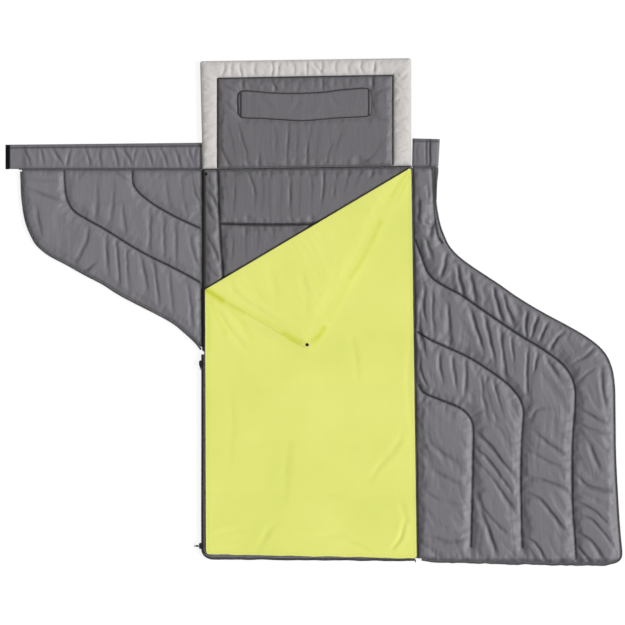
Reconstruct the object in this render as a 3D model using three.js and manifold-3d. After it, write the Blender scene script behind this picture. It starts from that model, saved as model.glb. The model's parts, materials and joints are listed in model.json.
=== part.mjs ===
// Rectangular sleeping bag, laid flat and fully opened.
// Units are millimetres, +Z is up, +Y points to the head end, +X to the sleeper's right hand
// when the sleeper lies face down. The origin is on the underside of the base quilt, under the
// middle of the body. "Left" is -X and "right" is +X.
//
// The bag is a base quilt with a hood at its head end. The cover is cut in two along an S-shaped
// zip line: its upper half is sewn to the left side of the base, its lower half to the right side,
// and both lie turned out on the floor. Each half carries a draft collar along its neck edge. A
// thin blanket lies on the base with one corner turned down.
import * as THREE from "three";
import { mergeVertices } from "three/addons/utils/BufferGeometryUtils.js";
import Module from "manifold-3d";

// ---------------------------------------------------------------- shared dimensions
// Points are [x, y]; ranges, such as those named _Z, are [low, high].
const BASE_T = 28; // thickness of the base quilt
const COVER_T = 22; // thickness of each half of the cover
const HOOD_T = 28; // thickness of the hood
const SHEET = 2; // cloth and quilting thickness of an outer shell or lining
const GAP = 0.3; // between neighbouring pieces
const SEAM = 14; // height of the base and hood seam, where shell and lining meet
const COVER_SEAM = 11; // height of the cover seam

const COVER_AXIS_Z = 35; // the cover folds about this height, so that it closes over the base
const HOOD_AXIS_Z = 52; // the hood folds about this height, so that it closes over the cover
const COLLAR_AXIS_Z = 17.1; // a collar folds back on its own half of the cover
const CORNER_AXIS_Z = 31.9; // the blanket corner folds about its crease

const LEFT_X = -422; // fold line of the upper half of the cover
const LEFT_GAP = 4; // from that fold line to the cloth on each side of it
const RIGHT_HEAD = [402, 777]; // fold line of the lower half of the cover, head end
const RIGHT_FOOT = [422, -773]; // and foot end
const RIGHT_GAP = 3;
const NECK_LEFT = [-424, 768]; // neck seam, left end
const NECK_RIGHT = [402, 780]; // neck seam, right end
const NECK_GAP = 3;

const UPPER_COLLAR_Y = 768; // crease between the upper cover and its collar
const LOWER_COLLAR_Y = 777; // crease between the lower cover and its collar
const COLLAR_GAP = 2; // from a crease to the cloth on each side of it

const CREASE_HEAD = [398, 773]; // crease of the turned-down blanket corner, head end
const CREASE_SIDE = [-414, 292]; // and its end at the open side
const SNAP = [-11, 76]; // press stud near the tip of the corner
const SNAP_R = 6.5;
const SNAP_HOLE_R = SNAP_R + 0.4;

const TAPE_W = 9; // zip tape showing beyond a quilt's edge
const TAPE_T = 1;
const COIL_W = 3.6;
const COIL_T = 2.6;
const BASE_TAPE_Z = 13.5; // undersides of the zip tapes
const COVER_TAPE_Z = 10.5;

// Outer edge of the upper half of the cover, from the neck to the side of the base: x, y.
const UPPER_EDGE = [
  [-1146, 766], [-1144, 720], [-1142, 667], [-1137, 622], [-1132, 588], [-1122, 548], [-1106, 509],
  [-1083, 469], [-1041, 432], [-1005, 411], [-966, 391], [-895, 351], [-820, 312], [-761, 274],
  [-686, 234], [-607, 194], [-540, 156], [-493, 117], [-452, 78], [-427, 44],
];
// Outer edge of the lower half of the cover, from the neck round to the foot of the base: x, y.
const LOWER_EDGE = [
  [497, 775], [497, 720], [499, 667], [502, 627], [508, 588], [517, 548], [531, 509], [550, 469],
  [584, 430], [634, 391], [694, 351], [753, 312], [808, 273], [870, 234], [938, 195], [1015, 154],
  [1084, 114], [1136, 76], [1170, 38], [1190, -4], [1201, -50], [1206, -105], [1207, -162],
  [1208, -250], [1209, -339], [1212, -420], [1216, -497], [1223, -615], [1230, -700], [1234, -745],
  [1230, -768], [1214, -784], [1190, -789], [1000, -788], [800, -785], [600, -780], [440, -777],
];
// Outer edge of the zip along the open side and the foot of the base: x, y.
const BASE_ZIP_EDGE = [
  [-431, 38], [-431, -300], [-431, -731], [-428, -746], [-419, -759.5], [-405, -769], [-386, -774],
  [-100, -776], [150, -778], [414, -779],
];

// ---------------------------------------------------------------- materials
const BLACK = 0x1e1c1d;
const FINISH = {
  shell: { color: 0x4a494d, roughness: 0.92 },
  fill: { color: 0xeeece6, roughness: 1 },
  base: { color: 0x716e72, roughness: 0.92 },
  cover: { color: 0x7a787d, roughness: 0.92 },
  border: { color: 0xc8c4c1, roughness: 0.92 },
  blanket: { color: 0xe2e679, roughness: 0.85 },
  hookAndLoop: { color: BLACK, roughness: 0.95 },
  zipTape: { color: BLACK, roughness: 0.85 },
  seamTape: { color: BLACK, roughness: 0.8 },
  coil: { color: BLACK, roughness: 0.5 },
  snap: { color: BLACK, roughness: 0.4 },
  slider: { color: BLACK, roughness: 0.35 },
};

// ---------------------------------------------------------------- plane geometry
const MIN_MITRE = 0.35; // keeps the offset of a sharp corner from running away

const sub = (to, from) => [to[0] - from[0], to[1] - from[1]];
const dot = (one, other) => one[0] * other[0] + one[1] * other[1];
const leftOf = ([x, y]) => [-y, x];
const lerp = (from, to, t) => [from[0] + (to[0] - from[0]) * t, from[1] + (to[1] - from[1]) * t];
const along = (point, direction, distance) => [
  point[0] + direction[0] * distance,
  point[1] + direction[1] * distance,
];
function unit([x, y]) {
  const length = Math.hypot(x, y);
  return [x / length, y / length];
}

// The point at a distance to the left of a path, at its vertex i.
function offsetAt(path, i, distance, closed) {
  const count = path.length;
  const before = closed ? path[(i + count - 1) % count] : path[Math.max(i - 1, 0)];
  const after = closed ? path[(i + 1) % count] : path[Math.min(i + 1, count - 1)];
  const point = path[i];
  const arriving = unit(before === point ? sub(after, point) : sub(point, before));
  const leaving = after === point ? arriving : unit(sub(after, point));
  const normalIn = leftOf(arriving);
  const normalOut = leftOf(leaving);
  const scale = distance / Math.max(MIN_MITRE, 1 + normalIn[0] * normalOut[0] + normalIn[1] * normalOut[1]);
  return along(point, [normalIn[0] + normalOut[0], normalIn[1] + normalOut[1]], scale);
}
const offsetPath = (path, distance) => path.map((_, i) => offsetAt(path, i, distance, false));
const offsetLoop = (loop, distance) => loop.map((_, i) => offsetAt(loop, i, distance, true));

const toVectors = (loop) => loop.map(([x, y]) => new THREE.Vector2(x, y));

// A loop as counter-clockwise points.
const ccw = (loop) =>
  THREE.ShapeUtils.area(toVectors(loop)) < 0 ? loop.slice().reverse() : loop;

// Rounds the corners of a loop, with one radius per point (0 keeps the corner sharp).
function rounded(loop, radii, steps = 5) {
  const count = loop.length;
  return loop.flatMap((point, i) => {
    if (!radii[i]) return [point];
    const start = along(point, unit(sub(loop[(i + count - 1) % count], point)), radii[i]);
    const end = along(point, unit(sub(loop[(i + 1) % count], point)), radii[i]);
    return Array.from({ length: steps + 1 }, (_, k) => {
      const t = k / steps;
      return lerp(lerp(start, point, t), lerp(point, end, t), t);
    });
  });
}

// ---------------------------------------------------------------- solid shapes
function indexedGeometry(positions, indices) {
  const geometry = new THREE.BufferGeometry();
  geometry.setAttribute("position", new THREE.BufferAttribute(new Float32Array(positions), 3));
  geometry.setIndex(Array.from(indices));
  geometry.computeVertexNormals();
  return geometry;
}

// A flat plate of a loop.
function plate(loop, [z0, z1]) {
  const shape = new THREE.Shape(toVectors(ccw(loop)));
  const geometry = new THREE.ExtrudeGeometry(shape, { depth: z1 - z0, bevelEnabled: false });
  return geometry.translate(0, 0, z0);
}

// One cloth shell of a quilt: a sheet whose outside is at sheetZ, with a side wall of the same
// thickness up or down to rimZ.
function shell(loop, sheetZ, rimZ) {
  const sheetBelow = sheetZ < rimZ;
  const insideZ = sheetBelow ? sheetZ + SHEET : sheetZ - SHEET;
  const outer = ccw(loop);
  const inner = offsetLoop(outer, SHEET);
  const count = outer.length;
  const rings = [[outer, sheetZ], [outer, rimZ], [inner, rimZ], [inner, insideZ]];
  const vertices = rings.flatMap(([ring, z]) => ring.map(([x, y]) => [x, y, z]));
  const faces = [];
  const addFace = (a, b, c) => faces.push(sheetBelow ? [a, b, c] : [a, c, b]);
  for (const [a, b, c] of THREE.ShapeUtils.triangulateShape(toVectors(outer), [])) {
    addFace(a, c, b);
  }
  const last = 3 * count; // first vertex of the last ring
  for (const [a, b, c] of THREE.ShapeUtils.triangulateShape(toVectors(inner), [])) {
    addFace(last + a, last + b, last + c);
  }
  for (let i = 0; i < count; i++) {
    const j = (i + 1) % count;
    for (let ring = 0; ring < last; ring += count) {
      const next = ring + count;
      addFace(ring + i, ring + j, next + j);
      addFace(ring + i, next + j, next + i);
    }
  }
  return indexedGeometry(vertices.flat(), faces.flat());
}

// The filling inside a shell or lining.
const filling = (loop, range) => plate(offsetLoop(ccw(loop), SHEET + GAP), range);

// A strip that follows an open path, between two distances to its left.
function strip(path, distances, [z0, z1]) {
  const near = offsetPath(path, Math.min(...distances));
  const far = offsetPath(path, Math.max(...distances));
  const count = path.length;
  const rails = [[near, z0], [far, z0], [far, z1], [near, z1]];
  const vertices = rails.flatMap(([rail, z]) => rail.map(([x, y]) => [x, y, z]));
  const starts = rails.map((_, k) => k * count);
  const faces = [];
  for (let i = 0; i < count - 1; i++) {
    starts.forEach((rail, k) => {
      const next = starts[(k + 1) % 4];
      faces.push([rail + i, next + i, next + i + 1]);
      faces.push([rail + i, next + i + 1, rail + i + 1]);
    });
  }
  const [a, b, c, d] = starts;
  const end = count - 1;
  faces.push([a, d, c], [a, c, b]);
  faces.push([end, b + end, c + end], [end, c + end, d + end]);
  return indexedGeometry(vertices.flat(), faces.flat());
}

function disc([x, y], radius, [z0, z1], segments = 24) {
  const geometry = new THREE.CylinderGeometry(radius, radius, z1 - z0, segments);
  geometry.rotateX(Math.PI / 2);
  return geometry.translate(x, y, (z0 + z1) / 2);
}

function block([x0, x1], [y0, y1], [z0, z1]) {
  const geometry = new THREE.BoxGeometry(x1 - x0, y1 - y0, z1 - z0);
  return geometry.translate((x0 + x1) / 2, (y0 + y1) / 2, (z0 + z1) / 2);
}

// ---------------------------------------------------------------- joining and cutting
const wasm = await Module();
wasm.setup();

function toSolid(geometry) {
  const bare = geometry.clone();
  bare.deleteAttribute("normal");
  bare.deleteAttribute("uv");
  const merged = mergeVertices(bare, 1e-4);
  return new wasm.Manifold(
    new wasm.Mesh({
      numProp: 3,
      vertProperties: new Float32Array(merged.attributes.position.array),
      triVerts: new Uint32Array(merged.index.array),
    }),
  );
}
function fromSolid(solid) {
  const mesh = solid.getMesh();
  return indexedGeometry(mesh.vertProperties, mesh.triVerts);
}
const cut = (body, ...tools) =>
  fromSolid(tools.reduce((solid, tool) => solid.subtract(toSolid(tool)), toSolid(body)));
const join = (body, ...others) =>
  fromSolid(others.reduce((solid, other) => solid.add(toSolid(other)), toSolid(body)));

// ---------------------------------------------------------------- the scene graph
const bag = new THREE.Group();
bag.name = "sleeping_bag";

// A group that turns about its origin, given in the bag's own coordinates.
function bodyGroup(name, parent, origin) {
  const group = new THREE.Group();
  group.name = name;
  const at = new THREE.Vector3(...origin);
  group.userData.origin = at;
  group.position.copy(at).sub(parent.userData.origin || new THREE.Vector3());
  parent.add(group);
  return group;
}
// Adds a mesh whose geometry is given in the group's coordinates.
function addLocal(group, name, geometry, finish) {
  const material = new THREE.MeshStandardMaterial({ ...finish, metalness: 0 });
  const mesh = new THREE.Mesh(geometry, material);
  mesh.name = name;
  group.add(mesh);
  return mesh;
}
// Adds a mesh whose geometry is given in the bag's own coordinates.
function add(group, name, geometry, finish) {
  const { x, y, z } = group.userData.origin;
  addLocal(group, name, geometry.translate(-x, -y, -z), finish);
}

const middle = (from, to) => lerp(from, to, 0.5);
const base = bodyGroup("base", bag, [0, 0, 0]);
const upperCover = bodyGroup("upper_cover", base, [LEFT_X, 405, COVER_AXIS_Z]);
const upperCollar = bodyGroup("upper_collar", upperCover, [-800, UPPER_COLLAR_Y, COLLAR_AXIS_Z]);
const lowerCover = bodyGroup("lower_cover", base, [
  ...middle(RIGHT_HEAD, RIGHT_FOOT), COVER_AXIS_Z,
]);
const lowerCollar = bodyGroup("lower_collar", lowerCover, [455, LOWER_COLLAR_Y, COLLAR_AXIS_Z]);
const hood = bodyGroup("hood", base, [...middle(NECK_LEFT, NECK_RIGHT), HOOD_AXIS_Z]);
const corner = bodyGroup("blanket_corner", base, [
  ...middle(CREASE_HEAD, CREASE_SIDE), CORNER_AXIS_Z,
]);

// ---------------------------------------------------------------- fold lines
// x on the right fold line, at a distance off it, positive away from the base.
const rightNormal = leftOf(unit(sub(RIGHT_FOOT, RIGHT_HEAD)));
function rightX(y, distance = 0) {
  const t = (RIGHT_HEAD[1] - y) / (RIGHT_HEAD[1] - RIGHT_FOOT[1]);
  return lerp(RIGHT_HEAD, RIGHT_FOOT, t)[0] + rightNormal[0] * distance;
}
// The point on the neck seam at x, raised along Y.
function neckPoint(x, raise = 0) {
  const rise = (x - NECK_LEFT[0]) * (NECK_RIGHT[1] - NECK_LEFT[1]);
  return [x, NECK_LEFT[1] + rise / (NECK_RIGHT[0] - NECK_LEFT[0]) + raise];
}
const creaseDir = unit(sub(CREASE_SIDE, CREASE_HEAD));

// ---------------------------------------------------------------- parts the quilts share
// Shell, filling and lining; liningHole is cut from the lining where given.
function addQuilt(group, prefix, loop, { thickness, seam, finish, liningHole }) {
  const lining = shell(loop, thickness, seam + GAP / 2);
  add(group, `${prefix}_shell`, shell(loop, 0, seam - GAP / 2), FINISH.shell);
  add(
    group,
    `${prefix}_fill`,
    filling(loop, [SHEET + GAP, thickness - SHEET - GAP]),
    FINISH.fill,
  );
  add(group, `${prefix}_lining`, liningHole ? cut(lining, liningHole) : lining, finish);
}

// Zip tape and coil along a path; tape and coil are ranges of distance to its left.
function addZip(group, prefix, path, { tapeZ, tape, coil }) {
  const tapeTop = tapeZ + TAPE_T;
  const coilZ = [tapeTop + GAP, tapeTop + GAP + COIL_T];
  add(group, `${prefix}_zip_tape`, strip(path, tape, [tapeZ, tapeTop]), FINISH.zipTape);
  add(group, `${prefix}_zip_coil`, strip(path, coil, coilZ), FINISH.coil);
}

// ---------------------------------------------------------------- base quilt
function baseLoop() {
  const zipSide = offsetPath(BASE_ZIP_EDGE, TAPE_W + LEFT_GAP);
  const footY = zipSide.at(-1)[1];
  const headY = neckPoint(RIGHT_HEAD[0] - RIGHT_GAP, -NECK_GAP)[1];
  return [
    neckPoint(LEFT_X + LEFT_GAP, -NECK_GAP),
    ...zipSide,
    [rightX(footY, -RIGHT_GAP), footY],
    [rightX(headY, -RIGHT_GAP), headY],
  ];
}

// Where the press stud of the blanket corner lands when the corner is laid flat.
function studPlace() {
  const reach = dot(sub(SNAP, CREASE_HEAD), creaseDir);
  const onCrease = along(CREASE_HEAD, creaseDir, reach);
  return [2 * onCrease[0] - SNAP[0], 2 * onCrease[1] - SNAP[1]];
}

function addBaseQuilt() {
  const stud = studPlace();
  const liningInside = BASE_T - SHEET;
  addQuilt(base, "base", baseLoop(), {
    thickness: BASE_T,
    seam: SEAM,
    finish: FINISH.base,
    liningHole: disc(stud, SNAP_HOLE_R, [liningInside - 1, BASE_T + 1]),
  });
  const studZ = [liningInside + 0.05, BASE_T - 0.1];
  add(base, "base_snap_stud", disc(stud, SNAP_R, studZ), FINISH.snap);
}

// Seam tapes along the three folds of the base.
function addSeamTapes() {
  const tapeZ = [0, 12];
  const leftHalfWidth = 2;
  const acrossSeam = [-1.2, 1.2];
  const leftTape = block([LEFT_X - leftHalfWidth, LEFT_X + leftHalfWidth], [52, 762], tapeZ);
  const rightPath = [772, -764].map((y) => [rightX(y), y]);
  const neckPath = [-416, 392].map((x) => neckPoint(x));
  add(base, "upper_cover_seam_tape", leftTape, FINISH.seamTape);
  add(base, "lower_cover_seam_tape", strip(rightPath, acrossSeam, tapeZ), FINISH.seamTape);
  add(base, "neck_seam_tape", strip(neckPath, acrossSeam, tapeZ), FINISH.seamTape);
}

// Zip along the open side and round the foot. The path runs with the quilt on its left.
function addBaseZip() {
  const coilStart = 1.2;
  addZip(base, "base", BASE_ZIP_EDGE, {
    tapeZ: BASE_TAPE_Z,
    tape: [2, 12.3],
    coil: [coilStart, coilStart + COIL_W],
  });
  add(base, "zip_end_stop", block([414.6, 418.2], [-783, -771], [12.5, 18.5]), FINISH.coil);
}

// ---------------------------------------------------------------- blanket on the base
const BLANKET_Z = [28.6, 31.6];
const BLANKET_LEFT_FOOT = [-410, -747];
const BLANKET_RIGHT_FOOT_Y = -757;
const BLANKET_RIGHT_HEAD_Y = 770;
const BLANKET_RIGHT_GAP = 4; // from the right fold line
const CORNER_Z = [32.2, 35.2];
const CORNER_TIP = [-12, 60];
const CREASE_GAP = 1; // from the crease to both layers, on its foot side
const creaseInset = (point) => along(point, leftOf(creaseDir), CREASE_GAP);

function addBlanket() {
  const loop = rounded(
    [
      BLANKET_LEFT_FOOT,
      [rightX(BLANKET_RIGHT_FOOT_Y, -BLANKET_RIGHT_GAP), BLANKET_RIGHT_FOOT_Y],
      [rightX(BLANKET_RIGHT_HEAD_Y, -BLANKET_RIGHT_GAP), BLANKET_RIGHT_HEAD_Y - 2],
      creaseInset(CREASE_SIDE),
    ],
    [14, 6, 0, 0],
  );
  add(base, "blanket", plate(loop, BLANKET_Z), FINISH.blanket);
}

// The turned-down corner, with a press stud's cap above and its ring-shaped socket below.
function addBlanketCorner() {
  const creaseStart = lerp(CREASE_HEAD, CREASE_SIDE, 0.006);
  const loop = rounded(
    [creaseInset(creaseStart), creaseInset(CREASE_SIDE), CORNER_TIP],
    [0, 0, 12],
  );
  const snapHole = disc(SNAP, SNAP_HOLE_R, [CORNER_Z[0] - 1, CORNER_Z[1] + 1]);
  const socket = cut(disc(SNAP, SNAP_R, [32.3, 33.8]), disc(SNAP, 2.4, [31, 35]));
  add(corner, "blanket_corner", cut(plate(loop, CORNER_Z), snapHole), FINISH.blanket);
  add(corner, "corner_snap_cap", disc(SNAP, SNAP_R, [34.1, 35.7]), FINISH.snap);
  add(corner, "corner_snap_socket", socket, FINISH.snap);
}

// ---------------------------------------------------------------- halves of the cover
// side is 1 where the quilt is on the left of the zip path and -1 where it is on the right.
function addCoverHalf(group, prefix, loop, zipPath, side) {
  addQuilt(group, prefix, loop, {
    thickness: COVER_T,
    seam: COVER_SEAM,
    finish: FINISH.cover,
  });
  addZip(group, prefix, zipPath, {
    tapeZ: COVER_TAPE_Z,
    tape: [side * 1.5, side * (TAPE_W - GAP)],
    coil: [0, side * COIL_W],
  });
}

function addUpperCover() {
  const foldX = LEFT_X - LEFT_GAP;
  const headY = UPPER_COLLAR_Y - COLLAR_GAP;
  const quilt = offsetPath(UPPER_EDGE, TAPE_W);
  const loop = [[foldX, headY], [quilt[0][0], headY], ...quilt.slice(1, -1), [foldX, 66]];
  const zipPath = [...UPPER_EDGE.slice(0, -1), [-434, 54]];
  addCoverHalf(upperCover, "upper_cover", loop, zipPath, 1);
  const stop = block([-1149.5, -1139.5], [766.6, 769.4], [8.2, 16.4]);
  add(upperCover, "zip_head_stop", stop, FINISH.coil);
}

function addLowerCover() {
  const foldPoint = (y) => [rightX(y, RIGHT_GAP), y];
  const head = foldPoint(LOWER_COLLAR_Y - COLLAR_GAP);
  const loop = [head, ...offsetPath(LOWER_EDGE, -TAPE_W), foldPoint(-768)];
  addCoverHalf(lowerCover, "lower_cover", loop, LOWER_EDGE, -1);
}

// ---------------------------------------------------------------- collars
// The upper collar ends at its left in a thin tab, with a hook patch on the tab.
function addUpperCollar() {
  const thickness = 8;
  const tabThickness = 2.2;
  const hookThickness = 1.2;
  const hookWidth = 16;
  const [left, tabRight, right] = [-1203, -1132, -430];
  const creaseY = UPPER_COLLAR_Y + COLLAR_GAP;
  const headY = (x) => 866 + ((x - left) * 8) / (right - left);

  const collar = [
    [tabRight + GAP, creaseY], [right, creaseY],
    [right, headY(right)], [tabRight + GAP, headY(tabRight)],
  ];
  const tab = [
    [left, creaseY], [tabRight, creaseY],
    [tabRight, headY(tabRight)], [left, headY(left)],
  ];
  const hook = [
    [left, creaseY - 1], [left + hookWidth, creaseY - 1],
    [left + hookWidth, headY(left)], [left, headY(left)],
  ];
  const hookZ = [tabThickness + GAP, tabThickness + GAP + hookThickness];
  const hookPatch = plate(rounded(hook, [3, 3, 3, 3], 3), hookZ);
  add(upperCollar, "upper_collar", plate(collar, [0, thickness]), FINISH.cover);
  add(upperCollar, "upper_collar_tab", plate(tab, [0, tabThickness]), FINISH.cover);
  add(upperCollar, "collar_hook_patch", hookPatch, FINISH.hookAndLoop);
}

// The lower collar, with a loop patch on its underside.
function addLowerCollar() {
  const collarZ = [5.3, 11.3];
  const loopZ = [4.3, 5];
  const creaseY = LOWER_COLLAR_Y + COLLAR_GAP;
  const collar = [[405, creaseY + 2], [503, creaseY], [509, 886], [408, 889]];
  const loopPatch = block([442, 470], [creaseY + 5, 882], loopZ);
  add(lowerCollar, "lower_collar", plate(collar, collarZ), FINISH.cover);
  add(lowerCollar, "collar_loop_patch", loopPatch, FINISH.hookAndLoop);
}

// ---------------------------------------------------------------- hood
const HOOD_TOP_LEFT = [-434, 1195];
const HOOD_TOP_RIGHT = [394, 1207];
const PANEL_TOP_LEFT = [-365, 1127];
const PANEL_TOP_RIGHT = [327, 1139];
const HOOD_CORNER_R = 10;
const BORDER_GAP = 0.4; // between the border and the panel
const PILLOW = [[-284, 962], [243, 972], [243, 1084], [-284, 1074]];
const PILLOW_T = 2.7;

function addHood() {
  const neckLeft = neckPoint(NECK_LEFT[0], NECK_GAP);
  const neckRight = neckPoint(HOOD_TOP_RIGHT[0], NECK_GAP);
  const panelLeft = neckPoint(PANEL_TOP_LEFT[0], NECK_GAP);
  const panelRight = neckPoint(PANEL_TOP_RIGHT[0], NECK_GAP);
  const outer = rounded(
    [neckLeft, neckRight, HOOD_TOP_RIGHT, HOOD_TOP_LEFT],
    [0, 0, HOOD_CORNER_R, HOOD_CORNER_R],
    3,
  );
  const panel = [panelLeft, panelRight, PANEL_TOP_RIGHT, PANEL_TOP_LEFT];
  const panelFill = filling(panel, [SEAM + GAP / 2, HOOD_T - SHEET - GAP]);
  add(hood, "hood_shell", shell(outer, 0, SEAM - GAP / 2), FINISH.shell);
  add(hood, "hood_fill", filling(outer, [SHEET + GAP, SEAM - GAP]), FINISH.fill);
  add(hood, "hood_lining", shell(panel, HOOD_T, SEAM + GAP / 2), FINISH.base);
  add(hood, "hood_panel_fill", panelFill, FINISH.fill);

  // The border is a strip round the top and both sides of the panel.
  const border = rounded(
    [
      neckLeft,
      along(panelLeft, [-1, 0], BORDER_GAP),
      along(PANEL_TOP_LEFT, [-1, 1], BORDER_GAP),
      along(PANEL_TOP_RIGHT, [1, 1], BORDER_GAP),
      along(panelRight, [1, 0], BORDER_GAP),
      neckRight,
      HOOD_TOP_RIGHT,
      HOOD_TOP_LEFT,
    ],
    [0, 0, 0, 0, 0, 0, HOOD_CORNER_R, HOOD_CORNER_R],
    3,
  );
  add(hood, "hood_border", plate(border, [SEAM + GAP / 2, HOOD_T - 2]), FINISH.border);
  const pillow = rounded(PILLOW, [16, 16, 16, 16], 4);
  const pillowZ = [HOOD_T + GAP, HOOD_T + GAP + PILLOW_T];
  add(hood, "pillow_panel", plate(pillow, pillowZ), FINISH.base);
}

// ---------------------------------------------------------------- zip sliders and pulls
// Local frame: Y along the chain, Z up from the middle of the chain's coil.
const SLIDER_L = 24;
const SLIDER_W = 13.6;
const SLIDER_X = -431.5; // middle of both sliders, on the chain's outer side
const HEAD_SLIDER_Y = 2;
const FOOT_SLIDER_Y = -718;
const PULL_L = 25;
const COIL_MID = BASE_TAPE_Z + TAPE_T + GAP + COIL_T / 2;
const PULL_Z = COIL_MID + 4.65; // axis of both pulls

function sliderBody(bailAcross) {
  const halfW = SLIDER_W / 2;
  const halfL = SLIDER_L / 2;
  const outline = rounded(
    [
      [-halfW + 2, -halfL], [halfW - 2, -halfL], [halfW, halfL - 5],
      [halfW - 2.5, halfL], [-halfW + 2.5, halfL], [-halfW, halfL - 5],
    ],
    [2, 2, 2, 2, 2, 2],
    2,
  );
  const top = plate(outline, [1.9, 3.5]);
  const under = plate(outline, [-4.9, -3.3]);
  // The wedge joins the plates between the two halves of the chain.
  const wedge = plate([[-0.8, 2], [0.8, 2], [1.3, 9], [0, 11], [-1.3, 9]], [-3.5, 2.1]);
  const flange = (x0, x1) => block([x0, x1], [-8, 6], [0.1, 2.1]);
  const leftFlange = flange(-halfW + 0.2, -halfW + 1.2);
  const rightFlange = flange(halfW - 1.2, halfW - 0.2);
  const bail = cut(
    block([-1, 1], [-3.4, 4.4], [3.2, 7.2]),
    block([-2, 2], [-1.8, 2.8], [3.5, 5.8]),
  );
  if (bailAcross) bail.rotateZ(Math.PI / 2);
  return join(top, under, wedge, leftFlange, rightFlange, bail);
}

// The pull turns about X through its own origin and lies along -Y.
function pullTab() {
  const waistY = -PULL_L * 0.55;
  const outline = rounded(
    [[-3.4, 0.8], [-3.6, waistY], [-2.4, -PULL_L], [2.4, -PULL_L], [3.6, waistY], [3.4, 0.8]],
    [0.6, 2, 2, 2, 2, 0.6],
    3,
  );
  // The eye leaves a cross bar that runs through the slider's bail.
  const eye = rounded([[-1.7, -0.6], [-1.7, -8], [1.7, -8], [1.7, -0.6]], [0.3, 1, 1, 0.3], 2);
  const through = [-2, 2];
  const hole = disc([0, -PULL_L + 5], 1.5, through, 16);
  return cut(plate(outline, [-0.6, 0.6]), plate(eye, through), hole);
}

// A pull lies along the chain towards the foot or, if outward, across it, away from the base.
function addSlider(name, y, { outward }) {
  const body = bodyGroup(`${name}_body`, base, [SLIDER_X, y, COIL_MID]);
  addLocal(body, name, sliderBody(outward), FINISH.slider);
  const pullAt = outward ? [SLIDER_X - 0.5, y, PULL_Z] : [SLIDER_X, y + 0.5, PULL_Z];
  const pullBody = bodyGroup(`${name}_pull_body`, body, pullAt);
  const pull = addLocal(pullBody, `${name}_pull`, pullTab(), FINISH.slider);
  if (outward) pull.rotation.z = -Math.PI / 2;
}

// ---------------------------------------------------------------- assembly
addBaseQuilt();
addSeamTapes();
addBaseZip();
addBlanket();
addBlanketCorner();
addUpperCover();
addLowerCover();
addUpperCollar();
addLowerCollar();
addHood();
addSlider("head_slider", HEAD_SLIDER_Y, { outward: false });
addSlider("foot_slider", FOOT_SLIDER_Y, { outward: true });

export default bag;
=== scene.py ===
"""Rectangular sleeping bag, laid open and flat on the floor.

Seen from above, +X is right and +Y runs from the foot to the hood. The base lies in the middle,
the upper half of the cover is turned out to the left and the lower half to the right. A blanket
lies on the base with one corner turned down.
Lengths are in millimetres and turn into metres when a mesh is made.
"""

import json
import math
import bpy
import bmesh
import numpy as np
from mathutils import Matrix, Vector
from mathutils.bvhtree import BVHTree


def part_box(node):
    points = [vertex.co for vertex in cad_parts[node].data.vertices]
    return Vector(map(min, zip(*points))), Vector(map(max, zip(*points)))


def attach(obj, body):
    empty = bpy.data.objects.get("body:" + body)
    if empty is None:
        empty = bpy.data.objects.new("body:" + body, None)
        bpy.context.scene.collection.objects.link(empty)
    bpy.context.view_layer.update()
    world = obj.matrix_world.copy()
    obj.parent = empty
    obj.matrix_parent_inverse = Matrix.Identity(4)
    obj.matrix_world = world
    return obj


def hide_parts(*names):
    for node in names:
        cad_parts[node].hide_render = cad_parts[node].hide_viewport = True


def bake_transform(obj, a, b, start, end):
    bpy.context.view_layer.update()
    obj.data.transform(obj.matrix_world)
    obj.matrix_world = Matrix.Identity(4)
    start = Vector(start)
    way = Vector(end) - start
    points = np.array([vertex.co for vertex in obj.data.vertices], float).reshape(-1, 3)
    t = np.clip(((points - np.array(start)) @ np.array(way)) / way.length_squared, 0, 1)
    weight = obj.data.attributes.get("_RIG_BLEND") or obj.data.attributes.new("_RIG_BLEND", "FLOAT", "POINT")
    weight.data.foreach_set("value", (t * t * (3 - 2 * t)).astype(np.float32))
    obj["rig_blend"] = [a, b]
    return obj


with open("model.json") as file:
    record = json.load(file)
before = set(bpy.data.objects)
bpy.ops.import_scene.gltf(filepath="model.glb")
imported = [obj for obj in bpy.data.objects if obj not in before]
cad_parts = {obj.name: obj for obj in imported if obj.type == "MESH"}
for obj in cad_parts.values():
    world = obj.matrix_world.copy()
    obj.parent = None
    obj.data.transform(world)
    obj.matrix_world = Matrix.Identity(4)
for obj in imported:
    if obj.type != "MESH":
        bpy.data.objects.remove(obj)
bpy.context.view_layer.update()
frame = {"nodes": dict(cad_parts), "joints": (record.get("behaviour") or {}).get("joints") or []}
MM = 0.001
scene = bpy.context.scene


# ---------------------------------------------------------------- sizes taken from the frame
def cad(node):
    """A CAD node's box in mm: low corner, high corner."""
    low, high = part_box(node)
    return np.array(low) * 1000, np.array(high) * 1000


def cad_center(node):
    low, high = cad(node)
    return (low + high)[:2] / 2


JOINTS = {joint["name"]: joint for joint in frame["joints"]}
BASE_LEFT, BASE_TOP = cad("base_lining")[0][0], cad("base_lining")[1][2]
FLAP_RIGHT, FLAP_TOP = cad("upper_cover_lining")[1][0], cad("upper_cover_lining")[1][2]
HOOD_TOP = cad("hood_lining")[1][2]
COVER_SEAM = (cad("upper_cover_shell")[1][2] + cad("upper_cover_lining")[0][2]) / 2
BASE_SEAM = (cad("base_shell")[1][2] + cad("base_lining")[0][2]) / 2
SNAP, STUD = cad_center("corner_snap_cap"), cad_center("base_snap_stud")
STUD_TOP = cad("base_snap_stud")[1][2]


# ---------------------------------------------------------------- stitch lines and creases
def table_rows(text, separator):
    return [np.array(row.split(), float) for row in text.strip().split(separator)]


def curve_table(text):
    """Curves from x y pairs, with a blank line between curves."""
    return [row.reshape(-1, 2) for row in table_rows(text, "\n\n")]


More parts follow.
